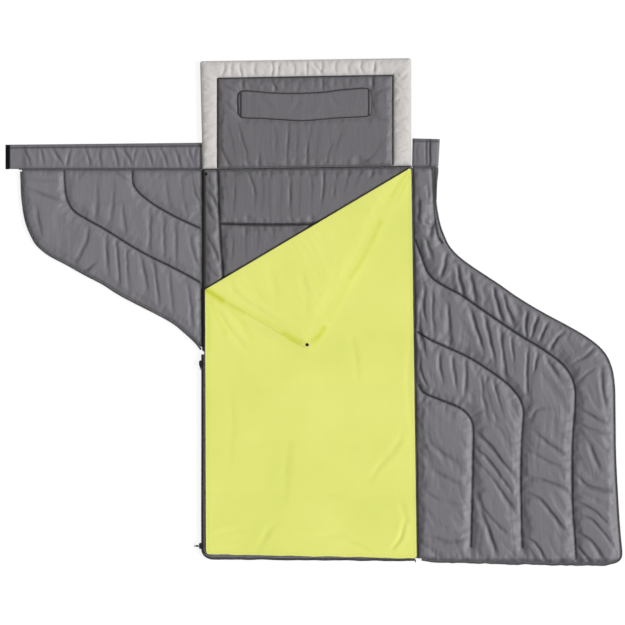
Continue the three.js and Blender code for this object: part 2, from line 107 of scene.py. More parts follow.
def crease_table(text):
    """One crease a line: x y of three or four points, then its depth and its width."""
    return [(row[:-2].reshape(-1, 2), row[-2], row[-1]) for row in table_rows(text, "\n")]


UPPER_CURVES = curve_table("""
-970.2 765.1 -969 717.8 -962.3 662.6 -950.5 631 -930.8 603.4 -875.6 567.9 -816.4 535.2
-702 463.4 -631 424 -557.7 388.5 -489.1 353 -424.8 316.3

-700.5 767.1 -699.3 717.8 -688.2 692.2 -667.3 668.9 -615.3 628.7 -540.3 585.3 -489.1 560.8
-427.9 533.2
""")
BASE_CURVES = curve_table("""
-364 765.1 -361.3 654.7 -357.7 552.2 -351.8 457.5 -344.7 362.8 -340.8 268.2 -339.2 94.7

-357.3 553.7 -236.6 550.6 -118.3 549.8 -13.8 552.2 157.8 552.2 402.3 556.1

-341.6 339.2 -39.4 337.2 406.2 343.1

-418.1 132.1 -39.4 128.2 410.2 134.1

-418.1 -84.8 -39.4 -84.8 126.2 -73 410.2 -78.9

-418.1 -299.7 -39.4 -297.8 78.9 -303.7 410.2 -299.7

-418.1 -504.8 -39.4 -510.7 157.8 -514.7 414.1 -514.7
""")
LOWER_CURVES = curve_table("""
414.9 489.1 433.8 437.8 449.6 394.4 463.4 362.8 489.1 333.3 540.3 301.7 595.9 272.5
651.5 233.1 706 195.2 762 156.6 834.2 109.2 894.9 73 942.6 41.4 988 5.9 1017.6 -27.6
1037.3 -67 1046.3 -114.4 1044.4 -189.3 1035.7 -310.4 1034.1 -418.1 1034.9 -530.1
1040 -615.3 1047.1 -713.9 1049.9 -769.1

424 126.2 472.9 96.6 551.8 61.1 606.2 35.9 650.8 11.8 693 -16.2 737.5 -46.5 779.7 -79.7
804.6 -106.5 826.3 -136.1 840.1 -177.1 840.9 -220.9 837.3 -275.7 833 -378.6 831.8 -483.9
833.8 -599.5 837.3 -723.7

427.9 -82.8 441.7 -106.5 461.4 -120.3 504.8 -138 548.2 -154.6 579.8 -167.6 606.2 -183.8
625.1 -203.1 638.1 -226.8 643.7 -260.3 642.9 -358.9 640.9 -483.9 638.1 -599.5 635 -719.8

482 773 484 737 485 700 490 627 497 548 507 500 522 478
""")
UPPER_CREASES = crease_table("""
-1108.3 690.2 -1045.2 666.5 -968.3 637 2.6 9
-879.5 560 -877.5 504.8 -907.1 429.9 -934.7 394.4 2.2 12
-804.6 520.6 -800.6 429.9 -796.7 351 2.4 10
-765.1 489.1 -757.2 402.3 -749.4 315.5 3 9
-725.7 465.4 -721.8 378.6 -713.9 291.9 2 9
-670.5 433.8 -654.7 362.8 -638.9 284 2.2 10
-623.2 418.1 -607.4 339.2 -595.5 240.6 3 9
-560 378.6 -548.2 291.9 -536.4 189.3 1.8 10
-489.1 343.1 -473.3 252.4 -461.4 134.1 1.8 9
-844 402.3 -883.5 370.7 -907.1 366.8 2 9
-1080.7 627.1 -1072.8 575.8 -1057 504.8 2 11
-769.1 745.4 -777 646.8 -788.8 544.3 1.8 12
-836.1 757.2 -840.1 646.8 -844 567.9 1.6 12
-741.5 646.8 -733.6 567.9 -725.7 496.9 1.5 10
-631 623.2 -631 536.4 -635 441.7 1.8 10
-579.8 591.6 -575.8 504.8 -575.8 410.2 1.5 9
-532.4 560 -528.5 489.1 -528.5 386.5 1.7 9
-465.4 749.4 -457.5 686.3 -429.9 623.2 2.2 9
-571.9 741.5 -560 662.6 -544.3 599.5 1.2 10
-508.8 741.5 -496.9 662.6 -489.1 583.7 1.4 9
-780.9 765.1 -741.5 737.5 -706 717.8 1.6 8
-1112.2 733.6 -1049.1 721.8 -986 721.8 1.2 8
-473.3 520.6 -465.4 449.6 -437.8 370.7 1.6 9
""")
BASE_CREASES = crease_table("""
-251.2 761.2 -230.7 723.7 -215.7 671.7 -220.1 611.3 3.4 8
-297.4 757.2 -296.6 662.6 -301.7 583.7 2.2 9
-189.3 757.2 -183.4 686.3 -187.3 599.5 2 9
-158.5 757.2 -159.3 662.6 -155.8 567.9 2 8
-114.4 757.2 -112.4 686.3 -118.3 571.9 1.6 8
-77.7 753.3 -77.7 662.6 -74.9 567.9 2.6 8
-35.5 757.2 -39.4 686.3 -41.4 560 1.6 8
3.9 749.4 7.9 686.3 3.9 627.1 1.8 8
52.8 767.1 53.6 709.9 45.4 619.2 3 8
106.5 765.1 102.5 709.9 90.7 646.8 1.8 8
153.8 765.1 145.9 725.7 134.1 670.5 2 8
201.1 765.1 189.3 733.6 173.5 694.1 1.8 7
252.4 769.1 240.6 741.5 224.8 717.8 1.6 7
-335.2 757.2 -331.3 702 -323.4 635 1.6 8
-410.2 694.1 -382.6 650.8 -360.9 595.5 2.6 8
-414.1 646.8 -394.4 591.6 -366.8 556.1 1.8 8
-408.2 504.8 -378.6 449.6 -351 378.6 2.6 8
-406.2 402.3 -386.5 362.8 -355 335.2 2 8
-307.6 536.4 -303.7 465.4 -311.6 394.4 1.8 9
-256.4 536.4 -252.4 465.4 -252.4 410.2 1.4 9
-205.1 536.4 -205.1 489.1 -209 437.8 1.6 8
-145.9 536.4 -142 504.8 -142 477.2 1.3 8
-406.2 745.4 -394.4 709.9 -382.6 678.4 1.6 8
""")
LOWER_CREASES = crease_table("""
579.8 390.5 595.5 319.5 607.4 268.2 3.6 8
536.4 441.7 528.5 386.5 516.7 339.2 2 9
496.9 587.7 477.2 520.6 481.2 402.3 2.2 10
453.6 504.8 469.3 449.6 477.2 418.1 2 8
631 362.8 642.9 299.7 654.7 240.6 2 9
721.8 299.7 741.5 232.7 761.2 173.5 3.8 8
761.2 276.1 777 220.9 804.6 157.8 2.6 8
855.8 209 851.9 149.9 851.9 102.5 3 8
899.2 189.3 883.5 142 871.6 102.5 2.4 8
938.7 165.6 919 122.3 903.2 82.8 2 8
997.8 126.2 970.2 94.7 946.6 55.2 1.8 8
631 220.9 654.7 149.9 686.3 47.3 3.2 9
686.3 189.3 706 118.3 729.6 7.9 3 9
749.4 149.9 757.2 78.9 777 -55.2 2.4 9
792.7 118.3 800.6 47.3 808.5 -47.3 2 9
453.6 299.7 449.6 213 465.4 118.3 3 9
485.1 299.7 481.2 228.8 489.1 110.4 1.8 9
544.3 252.4 548.2 181.4 552.2 78.9 2 10
429.9 134.1 449.6 74.9 457.5 23.7 2 8
512.7 63.1 512.7 -7.9 528.5 -78.9 1.8 9
560 39.4 567.9 -31.6 579.8 -102.5 1.8 9
611.3 15.8 615.3 -55.2 607.4 -126.2 1.6 9
694.1 -39.4 702 -110.4 737.5 -220.9 2.6 9
717.8 -47.3 737.5 -126.2 761.2 -205.1 2.2 9
674.4 -39.4 686.3 -142 702 -213 2.2 9
654.7 -268.2 709.9 -323.4 812.5 -457.5 3.2 10
654.7 -331.3 702 -378.6 804.6 -520.6 2.8 10
662.6 -386.5 717.8 -449.6 808.5 -583.7 2.2 10
654.7 -504.8 694.1 -583.7 780.9 -678.4 2.6 10
662.6 -556.1 702 -646.8 737.5 -757.2 2.8 10
859.8 55.2 855.8 -23.7 855.8 -134.1 3.6 9
899.2 47.3 883.5 -31.6 863.7 -157.8 2.4 9
926.8 23.7 954.4 -15.8 986 -63.1 1.8 9
871.6 -213 891.3 -181.4 930.8 -173.5 1.6 9
855.8 -512.7 907.1 -536.4 1009.7 -662.6 3.2 10
867.7 -449.6 930.8 -461.4 1009.7 -496.9 2.2 9
875.6 -260.3 930.8 -307.6 1009.7 -362.8 1.6 10
867.7 -347.1 938.7 -386.5 1017.6 -418.1 1.4 10
855.8 -686.3 891.3 -709.9 930.8 -780.9 2.6 9
1041.2 7.9 1080.7 31.6 1128 71 1.8 8
1053 -71 1088.5 -39.4 1120.1 -15.8 1.4 8
1064.9 -181.4 1112.2 -205.1 1167.4 -236.6 2.4 9
1057 -236.6 1112.2 -260.3 1159.5 -268.2 1.4 8
1053 -441.7 1096.4 -481.2 1183.2 -500.9 3 9
1057 -552.2 1104.3 -567.9 1175.3 -631 3 9
1057 -599.5 1112.2 -615.3 1191.1 -709.9 2.6 9
1053 -670.5 1104.3 -694.1 1159.5 -773 2.8 9
1049.1 -717.8 1080.7 -749.4 1104.3 -780.9 2 8
1104.3 -315.5 1120.1 -362.8 1143.8 -418.1 1.6 9
1151.6 -3.9 1151.6 -82.8 1167.4 -181.4 1.6 8
437.8 252.4 433.8 173.5 437.8 47.3 2 7
433.8 35.5 437.8 -31.6 465.4 -94.7 2 7
453.6 -291.9 512.7 -347.1 571.9 -386.5 1.2 11
473.3 -418.1 536.4 -449.6 599.5 -481.2 1.2 11
461.4 -678.4 536.4 -698.1 615.3 -686.3 1.8 10
449.6 -504.8 512.7 -536.4 583.7 -552.2 1 11
426 725.7 429.9 646.8 426 544.3 1.4 8
457.5 741.5 465.4 686.3 461.4 623.2 1.2 8
449.6 560 473.3 544.3 489.1 552.2 1.2 8
""")
HOOD_CREASES = crease_table("""
-284 954.4 -268.2 891.3 -252.4 840.1 -245.3 780.9 2.8 8
-82.8 946.6 -86.8 867.7 -92.7 784.9 2.6 8
-7.9 883.5 -10.3 828.2 -12.6 780.9 2.8 8
7.9 950.5 0 903.2 -3.9 875.6 1.6 8
-353 855.8 -335.2 820.4 -315.5 777 2.2 8
-201.1 836.1 -201.1 804.6 -201.1 777 1.8 8
94.7 883.5 74.9 836.1 61.1 784.9 2.2 8
138 938.7 110.4 875.6 90.7 804.6 1.6 9
-265 1120.1 -264.2 1096.4 -264.2 1076.7 2 7
-151.8 1124 -142 1100.4 -130.2 1076.7 2.2 7
-126.2 1124 -134.1 1096.4 -142 1072.8 1.8 7
49.7 1131.9 51.3 1108.3 47.3 1076.7 2.4 7
67 1131.9 63.1 1104.3 71 1080.7 1.6 7
247.7 1139.8 248.5 1112.2 246.5 1084.6 2.4 7
-347.1 1104.3 -323.4 1088.5 -291.9 1072.8 1.6 8
-339.2 1049.1 -315.5 1009.7 -291.9 986 1.2 8
256.4 970.2 291.9 962.3 315.5 958.4 1.4 7
244.5 1060.9 276.1 1080.7 315.5 1096.4 1.4 8
268.2 844 228.8 804.6 177.5 777 1.8 9
295.8 883.5 268.2 851.9 244.5 820.4 1.2 9
-138 946.6 -134.1 867.7 -134.1 784.9 1.3 9
-47.3 938.7 -51.3 859.8 -55.2 784.9 1.4 9
39.4 938.7 27.6 859.8 19.7 784.9 1.4 9
-323.4 946.6 -307.6 883.5 -291.9 804.6 1.6 9
""")
PILLOW_CREASES = crease_table("""
-205.1 1053 -165.6 1025.4 -149.9 993.9 0.9 9
-39.4 1049.1 -55.2 1017.6 -78.9 986 0.8 9
78.9 1060.9 102.5 1029.4 142 1001.8 0.8 9
""")
BORDER_CREASES = crease_table("""
-337.2 1191.1 -339.2 1159.5 -358.9 1124 2 7
-274.5 1191.1 -276.1 1163.5 -268.2 1128 2.4 6
-151.8 1191.1 -145.9 1163.5 -153.8 1128 2.6 6
-120.3 1191.1 -126.2 1159.5 -130.2 1128 2.4 6
-13.4 1195 -11.8 1163.5 -11.8 1131.9 2.4 6
43.4 1195 47.3 1167.4 39.4 1131.9 2.2 6
7.9 1195 31.6 1163.5 55.2 1135.9 1.8 6
201.1 1199 201.1 1171.4 209 1139.8 2.2 6
254 1199 252.4 1171.4 248.5 1139.8 2.6 6
157.8 1195 149.9 1167.4 157.8 1135.9 1.6 7
102.5 1195 98.6 1167.4 106.5 1135.9 1.4 7
-71 1191.1 -63.1 1163.5 -67 1131.9 1.4 7
-213 1191.1 -220.9 1159.5 -213 1128 1.6 7
-307.6 1191.1 -311.6 1159.5 -307.6 1124 1.4 7
-429.9 1080.7 -402.3 1072.8 -366.8 1076.7 2.2 6
-429.9 1017.6 -398.3 1025.4 -366.8 1017.6 1.8 6
-429.9 954.4 -402.3 946.6 -366.8 954.4 1.8 6
-426 891.3 -398.3 899.2 -362.8 887.4 2 6
-426 836.1 -398.3 828.2 -362.8 836.1 1.6 6
-429.9 1128 -402.3 1120.1 -366.8 1104.3 1.8 6
335.2 1104.3 362.8 1088.5 390.5 1092.5 1.8 6
331.3 1041.2 362.8 1049.1 390.5 1037.3 2 6
331.3 978.1 358.9 970.2 390.5 978.1 1.8 6
331.3 915 362.8 922.9 390.5 911.1 1.8 6
331.3 851.9 362.8 844 390.5 851.9 1.6 6
339.2 1143.8 362.8 1128 386.5 1151.6 1.8 6
""")
UPPER_COLLAR_CREASES = crease_table("""
-1135.9 851.9 -1116.2 820.4 -1104.3 777 1.3 6
-1072.8 855.8 -1057 820.4 -1049.1 780.9 1.2 6
-1020.3 855.8 -997.8 820.4 -974.2 784.9 1.8 6
-946.6 855.8 -954.4 816.4 -962.3 777 1.3 6
-891.3 855.8 -875.6 816.4 -867.7 777 1.4 6
-828.2 855.8 -832.2 816.4 -824.3 777 1.2 6
-780.9 855.8 -765.1 820.4 -757.2 777 1.6 6
-741.5 851.9 -717.8 816.4 -702 780.9 1.8 6
-686.3 855.8 -694.1 816.4 -702 784.9 1.3 6
-646.8 855.8 -631 816.4 -623.2 777 1.3 6
-591.6 855.8 -575.8 820.4 -564 777 1.5 6
-536.4 855.8 -520.6 816.4 -512.7 777 1.5 6
-481.2 859.8 -473.3 820.4 -457.5 777 1.3 6
-449.6 859.8 -457.5 816.4 -449.6 777 1.1 6
""")
LOWER_COLLAR_CREASES = crease_table("""
457.5 887.4 457.5 836.1 459.5 784.9 1.8 4
474.5 887.4 474.5 836.1 476.4 784.9 1.8 4
422 875.6 418.1 836.1 422 792.7 0.8 6
""")
BLANKET_CREASES = crease_table("""
-386.5 252.4 -347.1 181.4 -291.9 102.5 -236.6 47.3 1 12
-315.5 -63.1 -307.6 -260.3 -323.4 -418.1 0.5 14
-71 -268.2 -86.8 -339.2 -102.5 -536.4 0.7 14
157.8 134.1 181.4 15.8 189.3 -78.9 0.7 12
370.7 -252.4 339.2 -323.4 268.2 -410.2 220.9 -481.2 1 12
374.7 -615.3 355 -686.3 319.5 -733.6 2.4 9
-118.3 -615.3 -165.6 -662.6 -213 -741.5 1.1 12
-394.4 -678.4 -335.2 -658.6 -252.4 -646.8 1.2 10
118.3 -702 181.4 -713.9 244.5 -741.5 1.3 9
118.3 47.3 197.2 55.2 355 47.3 0.5 12
398.3 134.1 386.5 -63.1 394.4 -220.9 0.7 10
355 -536.4 370.7 -583.7 394.4 -646.8 0.9 10
-47.3 -670.5 39.4 -678.4 118.3 -666.5 0.8 10
""")
CORNER_CREASES = crease_table("""
362.8 686.3 307.6 607.4 244.5 504.8 197.2 402.3 1.2 10
307.6 662.6 260.3 591.6 213 520.6 0.8 12
-157.8 410.2 -142 311.6 -130.2 213 0.6 14
-347.1 323.4 -260.3 252.4 -134.1 165.6 -55.2 102.5 1 10
118.3 449.6 94.7 331.3 55.2 213 0.5 12
-39.4 402.3 -19.7 291.9 -7.9 153.8 0.5 14
-315.5 362.8 -307.6 299.7 -291.9 252.4 0.5 12
""")
# painted shade streaks of the blanket, along the turned corner's edges and folds; the last two columns are
# strength and width
SHADE_STREAKS = crease_table("""
-409 292 -392 282 -372 268 -346 250 1.15 12
-346 250 -308 228 -262 204 0.5 11
-240 196 -180 168 -110 128 0.22 12
-104 122 -72 102 -56 92 -38 86 0.85 10.5
12 92 34 110 57 142 0.8 10
74 170 110 240 150 318 0.16 10
280 560 226 450 160 338 0.42 10
-400 270 -372 200 -330 120 0.3 11
-406 280 -398 180 -396 60 0.22 9
-330 236 -268 168 -232 104 0.2 12
322 660 352 712 384 752 0.3 7
344 640 372 700 396 744 0.22 6
""")


# ---------------------------------------------------------------- noise and profiles
def lattice_hash(cell_x, cell_y, seed):
    mixed = (cell_x * 374761393 + cell_y * 668265263 + seed * 974634777) & 0xFFFFFFFF
    mixed = ((mixed ^ (mixed >> 13)) * 1274126177) & 0xFFFFFFFF
    return mixed ^ (mixed >> 16)


def noise2(x, y, seed):
    """Smooth noise in the plane, from about -1 to 1."""
    x, y = np.asarray(x, float), np.asarray(y, float)
    cell_x, cell_y = np.floor(x).astype(np.int64), np.floor(y).astype(np.int64)
    part_x, part_y = x - cell_x, y - cell_y

    def ease(t):
        return t * t * t * (t * (t * 6 - 15) + 10)

    def slope(dx, dy):
        angle = lattice_hash(cell_x + dx, cell_y + dy, seed) / 4294967296.0 * 2 * math.pi
        return np.cos(angle) * (part_x - dx) + np.sin(angle) * (part_y - dy)

    across, up = ease(part_x), ease(part_y)
    low = slope(0, 0) * (1 - across) + slope(1, 0) * across
    high = slope(0, 1) * (1 - across) + slope(1, 1) * across
    return (low * (1 - up) + high * up) * 1.45


def noise1(t, row, seed):
    """Noise along one row of the plane."""
    return noise2(t, t * 0 + row, seed)


def fbm(x, y, seed, octaves=3):
    total, amp, freq = 0, 1.0, 1.0
    for k in range(octaves):
        total = total + amp * noise2(x * freq, y * freq, seed + 17 * k)
        amp *= 0.5
        freq *= 2.03
    return total / 1.6


def streaks(plan, angle, across, along, seed):
    """Long folds at an angle in degrees from +X, with widths across and lengths along."""
    turn = math.radians(angle)
    x, y = plan[:, 0], plan[:, 1]
    u = x * math.cos(turn) + y * math.sin(turn)
    v = -x * math.sin(turn) + y * math.cos(turn)
    v = v + 55 * noise2(u / 260, v / 200, seed + 9)
    fine = noise2(v / across * 2.1, u / along * 1.6, seed + 3)
    return noise2(v / across, u / along, seed) + 0.45 * fine


def smooth01(t):
    t = np.clip(t, 0, 1)
    return t * t * (3 - 2 * t)


def bell(dist, width, power=2):
    return np.exp(-((dist / width) ** power))


def dome(t):
    """A quarter ellipse: 0 at a stitched edge, steep at first, level at 1."""
    t = np.clip(t, 0, 1)
    return np.sqrt(np.maximum(1 - (1 - t) ** 2, 0))


def soft_max_limit(z, top, soft):
    """z kept under top, with a rounded approach."""
    return top - soft * np.logaddexp(0, (top - z) / soft)


def soft_min_limit(z, low, soft):
    return low + soft * np.logaddexp(0, (z - low) / soft)


# ---------------------------------------------------------------- curves in the plane
def spline(points, step):
    """Points at about the given step on a smooth open curve through the points."""
    pts = np.array(points, float)
    last = len(pts) - 1
    out = []
    for i in range(last):
        start, end = pts[i], pts[i + 1]
        before = pts[i - 1] if i else start
        after = pts[i + 2] if i < last - 1 else end
        span = np.linalg.norm(end - start)
        tan_a = (end - before) / (span + np.linalg.norm(start - before)) * span
        tan_b = (after - start) / (np.linalg.norm(after - end) + span) * span
        count = max(2, int(span / step) + 1)
        for t in np.arange(count) / count:
            sq, cube = t * t, t * t * t
            out.append((2 * cube - 3 * sq + 1) * start + (cube - 2 * sq + t) * tan_a
                       + (-2 * cube + 3 * sq) * end + (cube - sq) * tan_b)
    out.append(pts[-1])
    return np.array(out)


def arc_lengths(path):
    return np.r_[0, np.cumsum(np.linalg.norm(np.diff(path, axis=0), axis=1))]


def path_length(path):
    return np.linalg.norm(np.diff(path, axis=0), axis=1).sum()


def even(path, step):
    """The path at an even spacing near step, ends kept."""
    arc = arc_lengths(path)
    at = np.linspace(0, arc[-1], max(2, int(round(arc[-1] / step)) + 1))
    return np.c_[np.interp(at, arc, path[:, 0]), np.interp(at, arc, path[:, 1])]


def normals(path):
    """Unit vectors to the left of an open path."""
    tangent = np.gradient(path, axis=0)
    tangent /= np.maximum(np.linalg.norm(tangent, axis=1), 1e-9)[:, None]
    return np.c_[-tangent[:, 1], tangent[:, 0]]


def offset(path, dist):
    return path + normals(path) * dist


def nearest(plan, path, closed=False):
    """For each plan point: distance, arc length, side (+ left) and nearest point of a path."""
    start, end = path, np.roll(path, -1, axis=0)
    if not closed:
        start, end = start[:-1], end[:-1]
    span = end - start
    length = np.linalg.norm(span, axis=1)
    arc_start = np.r_[0, np.cumsum(length)][:-1]
    length_sq = np.maximum(length * length, 1e-12)
    n = len(plan)
    dist, arc, side, point = np.empty(n), np.empty(n), np.empty(n), np.empty((n, 2))
    chunk = max(1, 3000000 // max(len(start), 1))
    for i in range(0, n, chunk):
        part = plan[i : i + chunk]
        out = slice(i, i + chunk)
        rel = part[:, None, :] - start[None]
        dot = rel[:, :, 0] * span[None, :, 0] + rel[:, :, 1] * span[None, :, 1]
        t = np.clip(dot / length_sq, 0, 1)
        dx = rel[:, :, 0] - t * span[None, :, 0]
        dy = rel[:, :, 1] - t * span[None, :, 1]
        dist_sq = dx * dx + dy * dy
        k = np.argmin(dist_sq, axis=1)
        row = np.arange(len(part))
        dist[out] = np.sqrt(dist_sq[row, k])
        arc[out] = arc_start[k] + t[row, k] * length[k]
        point[out] = start[k] + t[row, k][:, None] * span[k]
        side[out] = np.sign(span[k, 0] * rel[row, k, 1] - span[k, 1] * rel[row, k, 0])
    return dist, arc, side, point


def edge_distance(plan, loop):
    return nearest(plan, loop, True)[0]


def inside(plan, loop):
    start, end = loop, np.roll(loop, -1, axis=0)
    rise = np.where(end[:, 1] == start[:, 1], 1e-9, end[:, 1] - start[:, 1])
    out = np.zeros(len(plan), bool)
    chunk = max(1, 3000000 // len(start))
    for i in range(0, len(plan), chunk):
        part = plan[i : i + chunk]
        x, y = part[:, 0][:, None], part[:, 1][:, None]
        cut_x = (end[:, 0] - start[:, 0]) * (y - start[:, 1]) / rise + start[:, 0]
        crossed = ((start[:, 1] > y) != (end[:, 1] > y)) & (x < cut_x)
        out[i : i + chunk] = crossed.sum(1) % 2 == 1
    return out


def closed_run(*parts):
    """One closed loop from runs of points, joined by straight runs."""
    step = 7.0
    pts = []
    for part in parts:
        run = np.array(part, float)
        if pts:
            gap = np.linalg.norm(run[0] - last)
            if gap > step * 1.5:
                count = int(gap / step)
                for t in np.arange(1, count) / count:
                    pts.append(last + (run[0] - last) * t)
            elif gap < 1e-6:
                run = run[1:]
        pts.extend(run)
        last = pts[-1]
    count = max(int(np.linalg.norm(pts[0] - last) / step), 1)
    for t in np.arange(1, count) / count:
        pts.append(last + (pts[0] - last) * t)
    return np.array(pts)


def round_corners(loop, radii):
    out = []
    for i, radius in enumerate(radii):
        corner = np.array(loop[i], float)
        if not radius:
            out.append(corner)
            continue
        back = np.array(loop[i - 1], float) - corner
        ahead = np.array(loop[(i + 1) % len(loop)], float) - corner
        start = corner + back / np.linalg.norm(back) * radius
        end = corner + ahead / np.linalg.norm(ahead) * radius
        for t in np.arange(7) / 6:
            out.append((1 - t) ** 2 * start + 2 * t * (1 - t) * corner + t * t * end)
    return np.array(out)


def dense(loop, step=7.0):
    """A closed loop with its straight sides cut into even runs."""
    out = []
    for i in range(len(loop)):
        start, end = np.array(loop[i], float), np.array(loop[(i + 1) % len(loop)], float)
        count = max(1, int(np.linalg.norm(end - start) / step))
        for t in np.arange(count) / count:
            out.append(start + (end - start) * t)
    return np.array(out)


# ---------------------------------------------------------------- meshes
def fitted_grid(loop, lines, cell, corners=(), angle=0.0):
    """A quad mesh over an outline. Its edge lies on the outline and its rows meet the lines."""
    turn = math.radians(angle)
    rot = np.array([[math.cos(turn), math.sin(turn)], [-math.sin(turn), math.cos(turn)]])
    turned = loop @ rot.T
    low, high = turned.min(0) - cell, turned.max(0) + cell
    nx, ny = int((high[0] - low[0]) / cell) + 1, int((high[1] - low[1]) / cell) + 1
    mid_x, mid_y = np.meshgrid(np.arange(nx) + 0.5, np.arange(ny) + 0.5)
    keep = inside(np.c_[mid_x.ravel(), mid_y.ravel()] * cell + low, turned).reshape(ny, nx)
    # cells that touch the rest by less than two sides are dropped
    for _ in range(3):
        wide = np.pad(keep, 1)
        sides = wide[:-2, 1:-1].astype(int) + wide[2:, 1:-1] + wide[1:-1, :-2] + wide[1:-1, 2:]
        keep &= sides >= 2
    j, i = np.nonzero(keep)
    node = lambda jj, ii: jj * (nx + 1) + ii
    quads = np.c_[node(j, i), node(j, i + 1), node(j + 1, i + 1), node(j + 1, i)]
    used, inverse = np.unique(quads, return_inverse=True)
    quads = inverse.reshape(-1, 4)
    plan = np.c_[used % (nx + 1), used // (nx + 1)] * cell + low
    plan = plan @ rot  # back from the turned frame
    edges = np.concatenate([quads[:, [k, (k + 1) % 4]] for k in range(4)])
    edges, uses = np.unique(np.sort(edges, axis=1), axis=0, return_counts=True)
    rim = edges[uses == 1]
    bound = np.zeros(len(plan), bool)
    bound[rim.ravel()] = True
    fixed = np.zeros(len(plan), bool)
    rim_ids = np.nonzero(bound)[0]
    plan[rim_ids] = nearest(plan[rim_ids], loop, True)[3]
    for corner in corners:
        gap = np.linalg.norm(plan[rim_ids] - np.array(corner, float), axis=1)
        k = rim_ids[np.argmin(gap + 1e6 * fixed[rim_ids])]
        plan[k] = corner
        fixed[k] = True
    on_line = np.full(len(plan), -1)
    for i, line in enumerate(lines):
        dist, _, _, point = nearest(plan, line)
        hit = (dist < 0.52 * cell) & ~bound & (on_line < 0)
        on_line[hit] = i
        plan[hit] = point[hit]

    def neighbour_sum(pairs):
        total = np.zeros_like(plan)
        np.add.at(total, pairs[:, 0], plan[pairs[:, 1]])
        np.add.at(total, pairs[:, 1], plan[pairs[:, 0]])
        return total

    degree = np.bincount(edges.ravel(), minlength=len(plan)).astype(float)
    rim_degree = np.maximum(np.bincount(rim.ravel(), minlength=len(plan)), 1).astype(float)
    for _ in range(6):
        relaxed = neighbour_sum(edges) / degree[:, None]
        rim_mean = (neighbour_sum(rim) / rim_degree[:, None])[rim_ids]
        relaxed[rim_ids] = nearest(rim_mean, loop, True)[3]
        for i, line in enumerate(lines):
            held = np.nonzero(on_line == i)[0]
            if len(held):
                relaxed[held] = nearest(0.5 * (relaxed[held] + plan[held]), line)[3]
        relaxed[fixed] = plan[fixed]
        plan = 0.35 * plan + 0.65 * relaxed

    # where a line runs along a quad's diagonal, the quad is split on it
    def split(a, b, c, d):
        line = on_line[quads]
        same = (line[:, a] >= 0) & (line[:, a] == line[:, c])
        return same & (line[:, b] != line[:, a]) & (line[:, d] != line[:, a])

    cut_02, cut_13 = split(0, 1, 2, 3), split(1, 0, 3, 2)
    faces = [tuple(quad) for quad in quads[~(cut_02 | cut_13)].tolist()]
    for cut, order in ((cut_02, [0, 1, 2]), (cut_02, [0, 2, 3]),
                       (cut_13, [1, 2, 3]), (cut_13, [1, 3, 0])):
        faces += [tuple(tri) for tri in quads[cut][:, order].tolist()]
    return {"plan": plan, "faces": faces, "pinned": (on_line >= 0) | bound}


def mesh_object(name, verts, faces, smooth=True):
    mesh = bpy.data.meshes.new(name)
    mesh.from_pydata([tuple(v) for v in verts], [], [tuple(int(i) for i in f) for f in faces])
    mesh.update()
    if smooth:
        mesh.polygons.foreach_set("use_smooth", np.ones(len(mesh.polygons), bool))
    ob = bpy.data.objects.new(name, mesh)
    scene.collection.objects.link(ob)
    return ob


def coords(mesh):
    flat = np.empty(len(mesh.vertices) * 3, np.float32)
    mesh.vertices.foreach_get("co", flat)
    return flat.reshape(-1, 3).astype(float)


def plan_of(ob):
    return coords(ob.data)[:, :2] * 1000


def set_attr(ob, name, values):
    attributes = ob.data.attributes
    layer = attributes.get(name) or attributes.new(name, "FLOAT", "POINT")
    layer.data.foreach_set("value", np.asarray(values, np.float32))


def puff_cloth(verts, faces, pinned, pressure, cap):
    """Settles a sheet as cloth with air under it, pinned where it is sewn.
    No point moves further than cap from where it began."""
    last_frame, stiffness = 14, 12.0
    ob = mesh_object("cloth_tmp", verts * MM, faces)
    group = ob.vertex_groups.new(name="pin")
    group.add([int(i) for i in np.nonzero(pinned)[0]], 1.0, "REPLACE")
    cloth = ob.modifiers.new("cloth", "CLOTH")
    cfg = cloth.settings
    cfg.quality = 4
    cfg.mass = 0.02
    cfg.air_damping = 4.0
    cfg.tension_stiffness = cfg.compression_stiffness = stiffness
    cfg.shear_stiffness = stiffness * 0.4
    cfg.bending_stiffness = 0.6
    cfg.tension_damping = cfg.compression_damping = cfg.shear_damping = 6
    cfg.vertex_group_mass = "pin"
    cfg.pin_stiffness = 1.0
    cfg.use_pressure = True
    cfg.uniform_pressure_force = pressure
    cfg.shrink_min = cfg.shrink_max = -0.012
    cfg.effector_weights.gravity = 0.0
    cloth.collision_settings.use_collision = False
    cloth.collision_settings.use_self_collision = False
    cloth.point_cache.frame_start = 1
    cloth.point_cache.frame_end = last_frame
    for k in range(1, last_frame + 1):
        scene.frame_set(k)
    evaluated = ob.evaluated_get(bpy.context.evaluated_depsgraph_get())
    settled = coords(evaluated.data) * 1000
    scene.frame_set(1)
    bpy.data.objects.remove(ob)
    # a simulation that blew up is ignored
    if not np.isfinite(settled).all():
        return verts
    move = settled - verts
    length = np.linalg.norm(move, axis=1)
    scale = np.where(length > cap, cap / np.maximum(length, 1e-9), 1.0)
    return verts + move * scale[:, None]


def refine(verts, faces):
    """One Catmull-Clark step, applied."""
    ob = mesh_object("sub_tmp", verts, faces)
    mod = ob.modifiers.new("s", "SUBSURF")
    mod.levels = mod.render_levels = 1
    mod.boundary_smooth = "PRESERVE_CORNERS"
    depsgraph = bpy.context.evaluated_depsgraph_get()
    mesh = bpy.data.meshes.new_from_object(ob.evaluated_get(depsgraph))
    fine, fine_faces = coords(mesh), [tuple(p.vertices) for p in mesh.polygons]
    bpy.data.objects.remove(ob)
    bpy.data.meshes.remove(mesh)
    return fine, fine_faces


